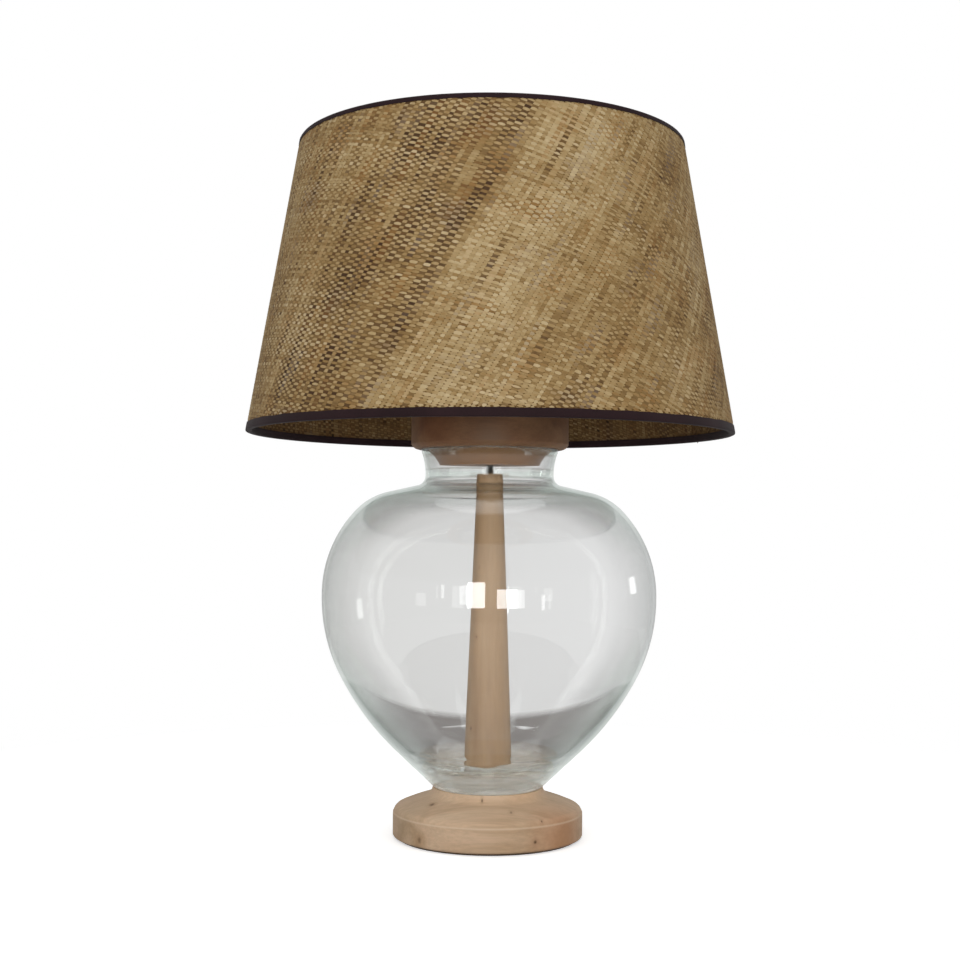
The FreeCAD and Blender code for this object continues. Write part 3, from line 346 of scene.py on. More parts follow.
def jar_glass():
    """Clear, faintly green glass: a ground bore and foot, and painted light on the foot and floor.
    """
    shader = Shader("blown_glass")
    height = shader.part(shader.place(), 2)
    above = shader.maths("SUBTRACT", height, JAR_FOOT)
    reach = shader.measure("LENGTH", shader.position((1, 1, 0)))

    # Some light goes straight through: edgeways, less so round the belly, at the waist and the lip
    edgeways = shader.node("LayerWeight", {"Blend": 0.5}).outputs["Facing"]
    grazing = shader.spread(edgeways, 0.35, 0.85, 0.0, 0.75)
    over_flank = shader.spread(above, 100 * MM, 140 * MM)
    belly = shader.times(over_flank, shader.spread(above, 250 * MM, 215 * MM))
    grazing = shader.times(grazing, shader.spread(belly, 0.0, 1.0, 1.0, 0.4))
    over_neck = shader.spread(above, 283 * MM, 286 * MM, 0.0, 0.7)
    waist = shader.times(over_neck, shader.spread(above, 294.5 * MM, 292 * MM))
    lip = shader.spread(above, 304 * MM, 307 * MM, 0.0, 0.75)
    straight = shader.maths("MAXIMUM", grazing, shader.maths("MAXIMUM", waist, lip))
    clear = shader.closure("BsdfGlass", (0.985, 0.988, 0.985, 1), Roughness=0.0, IOR=1.5)
    edge = shader.closure("BsdfTransparent", (0.92, 0.945, 0.93, 1))
    surface = shader.blend(straight, clear, edge)

    # The bore and foot are ground glass; the foot's full white and the floor's clouds are painted
    # light
    grain = shader.spread(shader.clouds(300.0, 3.0), 0.3, 0.6, 0.9, 1.0)
    cloudy = shader.noise(shader.position((0.5, 1, 1)), 60.0, 3.0)
    clouds = shader.spread(cloudy, 0.35, 0.65, 0.45, 0.95)
    bore = shader.spread(reach, 6.3 * MM, 6.8 * MM, 1.0, 0.0)
    low = shader.spread(height, JAR_FOOT + 0.1 * MM, JAR_FOOT + 0.5 * MM, 1.0, 0.0)
    foot = shader.times(grain, low)
    # Painted light: white clouds on the floor for light that the thick bottom pipes and scatters
    floor = shader.times(clouds, shader.spread(reach, 44 * MM, 60 * MM, 1.0, 0.0))
    low = shader.spread(height, JAR_FOOT + 24 * MM, JAR_FOOT + 32 * MM, 1.0, 0.0)
    floor = shader.times(floor, low)
    share = shader.maths("MAXIMUM", bore, shader.maths("MAXIMUM", foot, floor))
    white = (0.97, 0.95, 0.93, 1)
    matt, milky = shader.closure("BsdfDiffuse", white), shader.closure("BsdfTranslucent", white)
    surface = shader.blend(share, surface, shader.blend(0.5, matt, milky))

    # The shadow stays light
    through = shader.closure("BsdfTransparent", (0.93, 0.94, 0.935, 1))
    surface = shader.blend(shader.node("LightPath").outputs["Is Shadow Ray"], surface, through)
    body = shader.closure("VolumeAbsorption", (0.70, 0.84, 0.80, 1), Density=2.4)
    shader.finish(body, "Volume")
    return shader.finish(surface)


def strand_weave(name, stops, seed):
    """Raffia strands. tone and tint come with the mesh, and its UV map runs along each strand."""
    shader = Shader(name)
    strand = shader.node("SeparateXYZ", {0: shader.node("UVMap", uv_map="strand").outputs[0]})
    tone = shader.node("Attribute", attribute_name="tone").outputs["Fac"]
    tint = shader.node("Attribute", attribute_name="tint").outputs["Fac"]
    number = shader.maths("FLOOR", strand.outputs[1])
    across = shader.maths("FRACT", strand.outputs[1])
    inputs = {
        0: shader.times(strand.outputs[0], 60.0),
        1: shader.times(across, 9.0, shader.times(number, 31.7)),
        2: seed,
    }
    fibres = shader.noise(shader.node("CombineXYZ", inputs).outputs[0], 1.0, 3.0, 0.6)
    value = shader.times(fibres, 0.3, shader.maths("ADD", tone, -0.15))
    colour = shader.ramp(value, stops)
    colour = shader.mix(shader.spread(tint, 0.6, 1.8, 0.0, 0.26), colour, linear(158, 106, 50))
    colour = shader.mix(shader.spread(tint, -0.9, -1.9, 0.0, 0.26), colour, linear(142, 130, 120))
    # Painted shade: faces that look into the lampshade are darkened for the dim light inside it
    away = shader.node("VectorMath", {0: shader.position((1, 1, 0))}, operation="NORMALIZE")
    normal = shader.node("NewGeometry").outputs["Normal"]
    inner_painted_shade = shader.spread(shader.measure("DOT_PRODUCT", normal, away.outputs[0]), -0.1, -0.4)
    painted_shade_colour = shader.mix(1.0, colour, (0.55, 0.48, 0.42, 1), "MULTIPLY")
    surface = shader.principled(
        Base_Color=shader.mix(inner_painted_shade, colour, painted_shade_colour),
        Roughness=0.66,
        Specular_IOR_Level=0.22,
        Normal=shader.bump(fibres, 0.16 * MM, 0.8),
    )
    return shader.finish(surface)


def binding_tape(name):
    """Matt aubergine tape with fine cross ribs."""
    shader = Shader(name + "_cloth")
    place = shader.node("SeparateXYZ", {0: shader.node("UVMap", uv_map="tape").outputs[0]})
    along = shader.times(place.outputs[0], 1800.0)
    up = shader.times(place.outputs[1], 500.0)
    weave = shader.noise(shader.node("CombineXYZ", {0: along, 1: up}).outputs[0], 1.0, 2.0)
    cloud = shader.clouds(30.0, 2.0)
    value = shader.times(cloud, 0.5, shader.times(weave, 0.5))
    stops = [(0.0, (31, 16, 19)), (1.0, (44, 26, 29))]
    surface = shader.principled(
        Base_Color=shader.ramp(shader.spread(value, 0.35, 0.65), stops),
        Roughness=0.75,
        Specular_IOR_Level=0.15,
        Sheen_Weight=0.05,
        Normal=shader.bump(weave, 0.08 * MM, 0.7),
    )
    return shader.finish(surface)


def metal(name, colour, worn, roughness, metallic):
    """Metal with faint brushing, finger marks and a worn tone."""
    shader = Shader(name)
    brushed = shader.noise(shader.position((1, 1, 0.08)), 900.0, 3.0)
    marks = shader.clouds(70.0, 4.0, 0.6)
    surface = shader.principled(
        Base_Color=shader.mix(shader.spread(marks, 0.5, 0.75, 0.0, 0.6), colour, worn),
        Metallic=metallic,
        Roughness=shader.spread(marks, 0.3, 0.7, roughness * 0.8, roughness * 1.25),
        Normal=shader.bump(brushed, 0.02 * MM, 0.5),
    )
    return shader.finish(surface)


def plastic(name, colour, roughness, mottle, subsurface):
    """Moulded or pressed material with a faint orange-peel skin."""
    shader = Shader(name)
    cloud = shader.clouds(180.0, 3.0)
    skin = shader.clouds(900.0, 2.0)
    mottled = shader.spread(cloud, 0.3, 0.7, 1.0 - mottle, 1.0 + mottle)
    surface = shader.principled(
        Base_Color=shader.mix(1.0, colour, mottled, "MULTIPLY"),
        Roughness=roughness,
        Subsurface_Weight=subsurface,
        Subsurface_Radius=(0.01, 0.009, 0.008),
        Normal=shader.bump(skin, 0.03 * MM, 0.4),
    )
    return shader.finish(surface)


def clear_rubber():
    """Clear soft rubber, a little cloudy, that takes the colour of what is round it."""
    shader = Shader("clear_rubber")
    cloudy = shader.clouds(240.0, 2.0)
    surface = shader.principled(
        Base_Color=(0.80, 0.76, 0.70, 1),
        Transmission_Weight=0.9,
        Roughness=shader.spread(cloudy, 0.3, 0.7, 0.25, 0.45),
        IOR=1.41,
    )
    return shader.finish(surface)


def felt():
    """Brown felt with short tufts."""
    shader = Shader("felt_pad")
    tufts = shader.clouds(1200.0, 4.0, 0.7)
    cloud = shader.clouds(120.0, 2.0)
    stops = [(0.0, (70, 55, 44)), (1.0, (98, 80, 64))]
    surface = shader.principled(
        Base_Color=shader.ramp(shader.spread(cloud, 0.3, 0.7), stops),
        Roughness=0.95,
        Sheen_Weight=0.4,
        Specular_IOR_Level=0.1,
        Normal=shader.bump(tufts, 0.4 * MM, 1.0),
    )
    return shader.finish(surface)


# Meshes
def add_object(name, data):
    made = bpy.data.objects.new(name, data)
    bpy.context.scene.collection.objects.link(made)
    return made


def add_piece(name, mesh, material, body, slot, node, crease=None):
    """A new piece in place of a CAD node, with its material and body. slot is not used."""
    piece = add_object(name, mesh)
    mesh.materials.append(material)
    mesh.shade_smooth()
    if crease is not None:
        mesh.set_sharp_from_angle(angle=math.radians(crease))
    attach(piece, body)
    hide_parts(node)
    return piece


def points_of(mesh):
    """A mesh's points as rows."""
    return np.array([vertex.co for vertex in mesh.vertices])


def radii_and_heights(node):
    """How far from the axis and how high a CAD node's points are."""
    points = points_of(NODES[node].data)
    return np.hypot(points[:, 0], points[:, 1]), points[:, 2]


def mesh_of(name, points, faces):
    mesh = bpy.data.meshes.new(name)
    mesh.from_pydata([tuple(point) for point in points], [], faces)
    mesh.validate()
    mesh.update()
    return mesh


def add_uv(mesh, name, per_point):
    """A UV map from one pair of numbers for each point."""
    corner_points = np.zeros(len(mesh.loops), np.int32)
    mesh.loops.foreach_get("vertex_index", corner_points)
    layer = mesh.uv_layers.new(name=name)
    layer.data.foreach_set("uv", np.asarray(per_point, np.float32)[corner_points].ravel())


def arc_through(start, finish, bulge, steps):
    """Points from start to finish, without start, on the arc whose rise over its chord is bulge."""
    start, finish = np.array(start, float), np.array(finish, float)
    if bulge == 0:
        return [start + (finish - start) * (step + 1) / steps for step in range(steps)]
    chord = finish - start
    half = np.linalg.norm(chord) / 2
    rise = bulge * half * 2
    radius = (half**2 + rise**2) / (2 * rise)
    right = np.array([chord[1], -chord[0]]) / (2 * half)
    centre = (start + finish) / 2 + right * (rise - radius)
    first = math.atan2(*(start - centre)[::-1])
    sweep = 4 * math.atan(2 * bulge)
    turns = [first + sweep * (step + 1) / steps for step in range(steps)]
    return [centre + abs(radius) * np.array([math.cos(turn), math.sin(turn)]) for turn in turns]


def outline(corners, step_length):
    """Points of a closed outline. Its corners are (radius, height) or (radius, height, bulge)."""
    points = []
    for index, corner in enumerate(corners):
        before = corners[index - 1]
        bulge = corner[2] if len(corner) > 2 else 0
        length = math.dist(before[:2], corner[:2])
        steps = max(1, math.ceil(length / step_length))
        points += arc_through(before[:2], corner[:2], bulge, steps)
    return np.array(points)


def revolve(name, profile, segments, change=None):
    """A closed profile turned about Z. change moves the radii and heights at each angle."""
    count = len(profile)
    angles = np.arange(segments) * 2 * math.pi / segments
    points = []
    for angle in angles:
        radius, height = profile[:, 0], profile[:, 1]
        if change is not None:
            radius, height = change(radius, height, angle)
        points.append(np.column_stack([radius * math.cos(angle), radius * math.sin(angle), height]))
    faces = []
    for segment in range(segments):
        here, there = segment * count, (segment + 1) % segments * count
        for index in range(count):
            follower = (index + 1) % count
            faces.append((here + index, there + index, there + follower, here + follower))
    return mesh_of(name, np.concatenate(points), faces)


# The weave on the shade's cone: its body, slot, node and crease, and its tones
CLOTH = ("shade", "woven_raffia", "shade_fabric", CLOTH_CREASE)
WARP_TONES = [
    (0.0, (64, 42, 22)),
    (0.25, (102, 76, 44)),
    (0.5, (138, 110, 67)),
    (0.75, (170, 146, 103)),
    (1.0, (190, 169, 130)),
]
WEFT_TONES = [
    (0.0, (112, 84, 48)),
    (0.35, (148, 119, 73)),
    (0.7, (176, 151, 107)),
    (1.0, (194, 173, 135)),
]


class Cone:
    """A CAD node's cone, unrolled flat about its apex."""

    def __init__(self, node):
        radius, height = radii_and_heights(node)
        self.low, self.high = height.min(), height.max()
        at_bottom = radius[height < self.low + 0.1 * MM]
        at_top = radius[height > self.high - 0.1 * MM]
        thickness = at_bottom.max() - at_bottom.min()
        self.bottom = at_bottom.max() - thickness / 2
        self.top = at_top.max() - thickness / 2
        slant = math.hypot(self.bottom - self.top, self.high - self.low)
        self.sine = (self.bottom - self.top) / slant
        self.cosine = (self.high - self.low) / slant
        self.far = self.bottom / self.sine
        self.near = self.top / self.sine
        self.half_turn = math.pi * self.sine
        self.middle_turn = (SEAM_TURN - math.pi) * self.sine
        self.area = self.half_turn * (self.far**2 - self.near**2)
        self.flat_width = 2 * self.far * math.sin(self.half_turn)
        self.flat_length = self.far - self.near * math.cos(self.half_turn)

    def inside(self, x, y):
        """How far flat points are inside the sheet's cut edges; negative outside."""
        reach, turn = np.hypot(x, y), np.arctan2(x, -y)
        ends = (self.half_turn - np.abs(turn - self.middle_turn)) * reach
        return np.minimum(np.minimum(reach - self.near, self.far - reach), ends) - SHEET_MARGIN

    def place(self, x, y, lift):
        """Flat points, lifted off the sheet, on the cone."""
        reach, turn = np.hypot(x, y), np.arctan2(x, -y)
        azimuth = turn / self.sine
        from_tapes = np.minimum(reach - self.near - TOP_FLAP, self.far - reach - BOTTOM_FLAP)
        lift = lift + WEAVE_SWELL * np.clip(from_tapes / SWELL_REACH, 0, 1)
        radius = reach * self.sine + lift * self.cosine
        height = self.low + (self.far - reach) * self.cosine + lift * self.sine
        return np.column_stack([radius * np.sin(azimuth), -radius * np.cos(azimuth), height])

    def drift(self, x, y):
        """How far the strands stray from straight: they fan out downwards and sway a little."""
        fan = -STRAND_FAN * np.tanh((x + 0.03) / 0.25) * (y + (self.near + self.far) / 2)
        sway = np.sin(x * 37 + y * 23) + 0.6 * np.sin(x * 83 - y * 51 + 1.0)
        return fan + STRAND_SWAY * sway


def strand_edges(rng, start, end, pitch, spread, bands=None):
    """Boundaries between strands whose widths vary about the pitch, band by band."""
    edges = [start]
    while edges[-1] < end:
        width = pitch * math.exp(rng.normal(0, spread) - spread**2 / 2)
        if bands is not None:
            starts, widths = [band[0] for band in bands], [band[1] for band in bands]
            width *= np.interp(edges[-1], starts, widths)
        edges.append(edges[-1] + width)
    return np.array(edges)


def cloud(x, y, size, seed):
    """A smooth random field of about -1 to 1 whose patches are about size across."""
    rng = np.random.default_rng(seed)
    total = 0
    for _ in range(CLOUD_WAVES):
        turn, phase = rng.uniform(0, 2 * math.pi, 2)
        rate = 2 * math.pi / size / rng.uniform(0.6, 2.2)
        total = total + np.sin(rate * (x * math.cos(turn) + y * math.sin(turn)) + phase)
    return total / CLOUD_LEVEL


class Strands:
    """One set of strands as thin ribbons that pass over and under the other set.

    The second set is flipped: its sides change places, so that its faces look outwards too, and it
    lies over where the first set lies under.
    """

    def __init__(self, cone, axis, side, own, crossing, fill, flip=False):
        self.cone, self.fill, self.up = cone, fill, -1 if flip else 1
        self.axis, self.side = axis, -side if flip else side
        self.own = -own[::-1] if flip else own
        self.numbers = range(len(own) - 1)[:: -1 if flip else 1]
        self.middles = (crossing[1:] + crossing[:-1]) / 2
        self.points, self.faces, self.values = [], [], []
        self.total = 0

    def wander(self, rng, step, size):
        """A random value for each crossing that changes slowly along the strand."""
        knots = self.middles[::step]
        return size * np.interp(self.middles, knots, rng.normal(0, 1, len(knots)))

    def make(self, rng, colour):
        """Every strand's ribbon. colour gives tone and tint from the strand's flat places."""
        for index, number in enumerate(self.numbers):
            left, right = self.own[index], self.own[index + 1]
            centre, width = (left + right) / 2, (right - left) * self.fill
            lean = self.wander(rng, 5, STRAND_LEAN)
            x = self.side[0] * centre + self.axis[0] * self.middles
            y = self.side[1] * centre + self.axis[1] * self.middles
            x = x + self.cone.drift(x, y)
            over = np.where((np.arange(len(self.middles)) + number) % 2 == 0, self.up, -self.up)
            swell = np.where(over > 0, SWELL_OVER, SWELL_UNDER) + self.wander(rng, 1, 0.05)
            half = width / 2 * (swell + self.wander(rng, 7, 0.06))
            tone, tint = colour(rng, self, centre, x, y)
            lift = over * STRAND_RELIEF
            table = np.column_stack([x, y, lift, self.middles, half, lean, tone, tint])
            room = self.cone.inside(x, y)
            runs = np.flatnonzero(np.diff(np.concatenate([[0], (room > 0).astype(int), [0]])))
            for begin, stop in zip(runs[::2], runs[1::2]):
                run = table[begin:stop]
                if begin > 0:
                    share = room[begin] / (room[begin] - room[begin - 1])
                    end = table[begin] + (table[begin - 1] - table[begin]) * share
                    run = np.vstack([end, run])
                if stop < len(table):
                    share = room[stop - 1] / (room[stop - 1] - room[stop])
                    end = table[stop - 1] + (table[stop] - table[stop - 1]) * share
                    run = np.vstack([run, end])
                if len(run) > 2:
                    self.ribbon(run, number)

    def ribbon(self, run, number):
        """One closed ribbon of three edges: two at the strand's sides and a ridge between them."""
        x, y, lift, along, half, lean, tone, tint = run.T
        for shift, rise, mark in ((-1, 0, 0.12), (0, 1, 0.5), (1, 0, 0.88)):
            flat_x, flat_y = x + self.side[0] * half * shift, y + self.side[1] * half * shift
            raised = lift + rise * STRAND_CROWN + lean * shift
            self.points.append(self.cone.place(flat_x, flat_y, raised))
            marks = np.full(len(run), number + mark)
            self.values.append(np.column_stack([along, marks, flat_x, flat_y, tone, tint]))
        count, last = len(run), len(run) - 1
        near, ridge, far = self.total, self.total + count, self.total + 2 * count
        for step in range(last):
            for one, two in ((near, ridge), (ridge, far), (far, near)):
                self.faces.append((one + step, two + step, two + step + 1, one + step + 1))
        self.faces.append((near, far, ridge))
        self.faces.append((near + last, ridge + last, far + last))
        self.total += 3 * count

    def mesh(self, name):
        """All ribbons in one mesh, with each point's flat place and what the material needs."""
        mesh = mesh_of(name, np.concatenate(self.points), self.faces)
        values = np.concatenate(self.values)
        add_uv(mesh, "strand", values[:, 0:2])
        add_uv(mesh, "flat", values[:, 2:4])
        for column, label in ((4, "tone"), (5, "tint")):
            layer = mesh.attributes.new(label, "FLOAT", "POINT")
            layer.data.foreach_set("value", np.ascontiguousarray(values[:, column], np.float32))
        return mesh


def warp_colour(rng, strands, centre, x, y):
    """Warps change from band to band, in long narrow patches."""
    starts, _, tones, unevenness = zip(*WARP_BANDS)
    tone = np.interp(centre, starts, tones)
    uneven = np.interp(centre, starts, unevenness)
    tone = tone + rng.normal(0, uneven) + strands.wander(rng, 12, 0.06)
    tone = tone + strands.wander(rng, 1, 0.10) + 0.05 * cloud(x, y, 0.05, 6)
    tone = tone + 0.10 * cloud(centre * 4.5, strands.middles, 0.085, 5)
    tint = cloud(centre * 3.0, strands.middles, 0.06, 8)
    tint = tint + rng.normal(0, 0.45) + strands.wander(rng, 3, 0.3)
    return np.clip(tone, 0, 1), tint


def weft_colour(rng, strands, centre, x, y):
    """Wefts are paler straw, a little darker and more orange towards the right."""
    tone = 0.58 + rng.normal(0, 0.09) + strands.wander(rng, 6, 0.09) + strands.wander(rng, 1, 0.12)
    tone = tone + 0.10 * cloud(x, y, 0.07, 21) - 0.10 * np.clip((x - 0.03) / 0.1, 0, 1)
    tint = cloud(x, y, 0.05, 8) + rng.normal(0, 0.35) + 0.3 * np.clip(x / 0.1, 0, 1)
    return np.clip(tone, 0, 1), tint


def make_film(cone):
    """The thin backing between the strands. Its dark brown, where it shows in the gaps, is painted
    shade.
    """
    near, far = cone.near + FILM_MARGIN, cone.far - FILM_MARGIN
    ends = [(near, FILM_HALF), (far, FILM_HALF), (far, -FILM_HALF), (near, -FILM_HALF)]
    profile = []
    for reach, lift in outline(ends, 10 * MM):
        point = cone.place(np.array([0.0]), np.array([-reach]), np.array([lift]))[0]
        profile.append((-point[1], point[2]))
    film = revolve("shade_backing", np.array(profile), SHEET_SEGMENTS)
    shader = Shader("raffia_backing_painted_shade")
    threads = shader.noise(shader.position((1, 1, 0.2)), 700.0, 3.0)
    # Painted shade: a dark brown for the dim inside of the lampshade, seen through the gaps
    tone = shader.ramp(threads, [(0.3, (74, 50, 26)), (0.7, (112, 84, 48))])
    cloth = shader.finish(shader.principled(Base_Color=tone, Roughness=0.8, Specular_IOR_Level=0.1))
    return add_piece("shade_backing", film, cloth, *CLOTH)


def make_weave():
    """The shade's cloth: warps, wefts and backing."""
    cone = Cone("shade_fabric")
    rng = np.random.default_rng(WEAVE_SEED)
    warp_way = np.array([math.sin(WARP_LEAN), math.cos(WARP_LEAN)])
    weft_way = np.array([math.cos(WEFT_LEAN), -math.sin(WEFT_LEAN)])
    turns = cone.middle_turn + np.linspace(-cone.half_turn, cone.half_turn, RIM_STEPS)
    rays = np.column_stack([np.sin(turns), -np.cos(turns)])
    rim = np.concatenate([cone.near * rays, cone.far * rays])
    rim = np.concatenate([rim + [shift, 0] for shift in (-RIM_MARGIN, RIM_MARGIN)])
    across, along = np.linalg.solve(np.column_stack([weft_way, warp_way]), rim.T)
    warps = strand_edges(rng, across.min(), across.max(), WARP_PITCH, WARP_SPREAD, WARP_BANDS)
    wefts = strand_edges(rng, along.min(), along.max(), WEFT_PITCH, WEFT_SPREAD)
    warp_strands = Strands(cone, warp_way, weft_way, warps, wefts, WARP_FILL)
    warp_strands.make(rng, warp_colour)
    weft_strands = Strands(cone, weft_way, warp_way, wefts, warps, WEFT_FILL, flip=True)
    weft_strands.make(rng, weft_colour)
    for name, strands, cloth in (
        ("shade_warp", warp_strands, strand_weave("raffia_warp", WARP_TONES, 3.0)),
        ("shade_weft", weft_strands, strand_weave("raffia_weft", WEFT_TONES, 57.0)),
    ):
        add_piece(name, strands.mesh(name), cloth, *CLOTH)
    make_film(cone)
    return cone


def ripple(angle, height, rows):
    """A smooth uneven field round the axis. rows are (waves round, waves a metre up, share)."""
    total = 0
    for number, (around, up, share) in enumerate(rows):
        total = total + share * np.sin(around * angle + up * 2 * math.pi * height + 1.7 * number)
    return total


def make_jar():
    """The blown jar: the CAD outline with fire-polished unevenness, most in its thick bottom."""
    cut, flank_cut = JAR_WALL * math.sqrt(0.5), JAR_FLANK_WALL * math.sqrt(0.5)
    corner = JAR_FLOOR_ROUND * math.sqrt(0.5)
    flank, belly_low, belly_high = (84.0, 33.1), (154.3, 173.4), (154.3, 177.4)
    shoulder, slope, neck_foot, neck = (123.3, 255.4), (94.5, 271.9), (66.5, 278.4), (59.5, 287.2)
    lip, lip_base = 63.4, JAR_HEIGHT - JAR_LIP * 0.48
    flank_in = (flank[0] - flank_cut, flank[1] + flank_cut)
    floor_in = flank_in[0] - (flank_in[1] - JAR_FLOOR)
    outside = [
        (JAR_BORE, 0.0),
        (43.0, 0.0),
        (51.5, 2.4, 0.10),
        flank,
        (135.9, 101.2, 0.041),
        (*belly_low, 0.060),
        belly_high,
        (*shoulder, 0.096),
        (*slope, 0.073),
        neck_foot,
        (*neck, -0.176),
        (lip, lip_base, -0.05),
    ]
    inside = [
        (lip - JAR_LIP, lip_base, 0.48),
        (neck[0] - JAR_WALL, neck[1], 0.05),
        (neck_foot[0], neck_foot[1] - JAR_WALL, 0.176),
        (slope[0], slope[1] - JAR_WALL),
        (shoulder[0] - cut, shoulder[1] - cut, -0.073),
        (belly_high[0] - JAR_WALL, belly_high[1], -0.096),
        (belly_low[0] - JAR_WALL, belly_low[1]),
        (132.83, 102.88, -0.060),
        (*flank_in, -0.041),
        (floor_in + corner, JAR_FLOOR + corner),
        (floor_in - JAR_FLOOR_ROUND, JAR_FLOOR, -0.10),
        (JAR_BORE, JAR_FLOOR),
    ]
    profile = outline(outside + inside, 2.5) * MM
    inner = np.arange(len(profile)) > np.argmax(profile[:, 1])
    away = np.clip((profile[:, 0] - 22 * MM) / (12 * MM), 0, 1)
    thick = np.clip((44 * MM - profile[:, 1]) / (26 * MM), 0, 1) * away
    free = np.clip(profile[:, 1] / (6 * MM), 0, 1) * away
    slow_waves = [(2, 1.5, 0.22), (3, -2.2, 0.16), (5, 4.0, 0.07)]
    fine_waves = [(13, 60.0, 0.06), (19, -95.0, 0.05), (29, 40.0, 0.03), (7, 130.0, 0.05)]
    floor_waves = [(11, 70.0, 0.10), (17, -45.0, 0.08), (6, 110.0, 0.10)]

    def blow(radius, height, angle):
        slow = ripple(angle, height, slow_waves) * MM
        fine = ripple(angle, height, fine_waves) * MM
        other = ripple(angle + 1.0, radius, floor_waves) * MM
        widened = free * slow * (1 + 0.3 * inner) + thick * free * fine * np.where(inner, 2.0, 1.0)
        lifted = thick * np.where(inner, other * 1.5, 0.0)
        return radius + widened, height + lifted + JAR_FOOT

    mesh = revolve("glass_jar_blown", profile, JAR_SEGMENTS, blow)
    where = ("stand", "jar_glass", "glass_jar", ROUND_CREASE)
    add_piece("glass_jar_blown", mesh, jar_glass(), *where)


def make_tape(name, node, cone, at_top, flap):
    """A tape folded over an edge of the shade, puffed by the wire, with a lap at the seam."""
    low, high = (corner.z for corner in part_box(node))
    inside = radii_and_heights(node)[0].min()
    lean = cone.sine / cone.cosine
    edge, way = (high, -1) if at_top else (low, 1)
    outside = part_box(node)[1].x - (lean * flap if at_top else 0)
    middle = (outside + inside) / 2
    drop = way * lean
    thin = TAPE_THICKNESS
    along_shade = [
        (flap, thin),
        (flap, 0.25 * thin),
        (flap - 0.3 * MM, 0.0),
        (flap * 0.6, -0.03 * MM),
        (flap * 0.35, -0.05 * MM),
        (1.2 * MM, 0.0),
        (1.5 * MM, thin),
    ]
    along_shade = [(outside - drop * rise - inset, rise) for rise, inset in along_shade]
    profile = along_shade[:-1] + [
        (outside - 0.35 * MM, 0.4 * MM),
        (outside - 1.1 * MM, 0.05 * MM),
        (middle, -0.1 * MM),
        (inside + 1.1 * MM, 0.05 * MM),
        (inside + 0.35 * MM, 0.4 * MM),
        (inside, 1.3 * MM),
        (inside, INNER_FLAP * 0.5),
        (inside, INNER_FLAP),
        (inside + thin, INNER_FLAP),
        (inside + thin, 1.5 * MM),
        (middle, thin),
        along_shade[-1],
    ]
    profile = np.array(profile[::-1] if at_top else profile)
    outer = profile[:, 0] > middle
    tip = (profile[:, 1] > flap * 0.55) & outer

    def sew(radius, rise, angle):
        uneven = ripple(angle, rise, [(23, 0, 0.06), (41, 0, 0.05), (67, 0, 0.04)]) * MM
        from_seam = abs(angle - SEAM_TURN + math.pi / 2) * cone.bottom
        lap = TAPE_LAP if from_seam < TAPE_LAP_REACH else 0.0
        rise = rise + tip * uneven * 2
        return radius + np.where(outer, uneven * 0.4 + lap, -lap * 0.5), edge + way * rise

    mesh = revolve(name, profile, TAPE_SEGMENTS, sew)
    ring = points_of(mesh)
    turn = np.arctan2(ring[:, 1], ring[:, 0])
    add_uv(mesh, "tape", np.column_stack([turn * cone.bottom, ring[:, 2]]))
    cloth = binding_tape(name)
    tape = add_piece(name, mesh, cloth, "shade", "binding_tape", node, ROUND_CREASE)


def make_pad():
    """The felt disc under the base, with soft cut edges."""
    low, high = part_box("base_felt")
    radius, thickness = high.x, high.z - low.z
    soft = 0.5 * MM
    corners = [(0.0, 0.0), (radius - soft, 0.0), (radius, soft, 0.2071), (radius, thickness - soft)]
    corners += [(radius - soft, thickness, 0.2071), (0.0, thickness)]
    profile = outline(corners, 3 * MM)[:-1]
    profile = profile[profile[:, 0] > 0.5 * MM]
    rim = profile[:, 0] > radius - 1.5 * MM

    def tuft(reach, height, angle):
        uneven = ripple(angle, reach, [(31, 200, 0.08), (53, -300, 0.07), (87, 400, 0.06)]) * MM
        return reach + np.where(rim, uneven, 0.0), low.z + height

    mesh = revolve("felt_disc", profile, SHEET_SEGMENTS, tuft)
    pad = add_piece("felt_disc", mesh, felt(), "stand", "felt", "base_felt")


def make_thread(name, node, material, body, slot, spans, thread, segments, rounded=False):
    """A CAD tube with its thread cut, or rolled, on the spans where it can be seen."""
    pitch, depth = thread
    radius, height = radii_and_heights(node)
    low, high = height.min(), height.max()
    heights = [low]
    for start, stop in spans:
        heights += list(np.arange(max(start, low), min(stop, high), pitch / 6))
    heights = np.unique(np.round(np.array(heights + [high]), 6))
    outer = np.column_stack([np.full(len(heights), radius.max()), heights])
    bore = radius.min() if radius.min() > 1 * MM else 0.4 * MM
    profile = np.concatenate([outer, [(bore, high), (bore, low)]])
    cut = np.zeros(len(profile), bool)
    for start, stop in spans:
        cut[: len(heights)] |= (heights > start + pitch / 2) & (heights < stop - pitch / 2)

    def wind(reach, height, angle):
        phase = (height / pitch - angle / (2 * math.pi)) % 1
        shape = (1 - np.cos(2 * math.pi * phase)) / 2 if rounded else np.abs(2 * phase - 1)
        return reach - np.where(cut, depth * shape, 0.0), height

    mesh = revolve(name, profile, segments, wind)
    add_piece(name, mesh, material, body, slot, node, THREAD_CREASE)


def dress(nodes, material):
    """Give CAD nodes a material in place of their plain one."""
    for node in nodes:
        data = NODES[node].data
        data.materials.clear()
        data.materials.append(material)
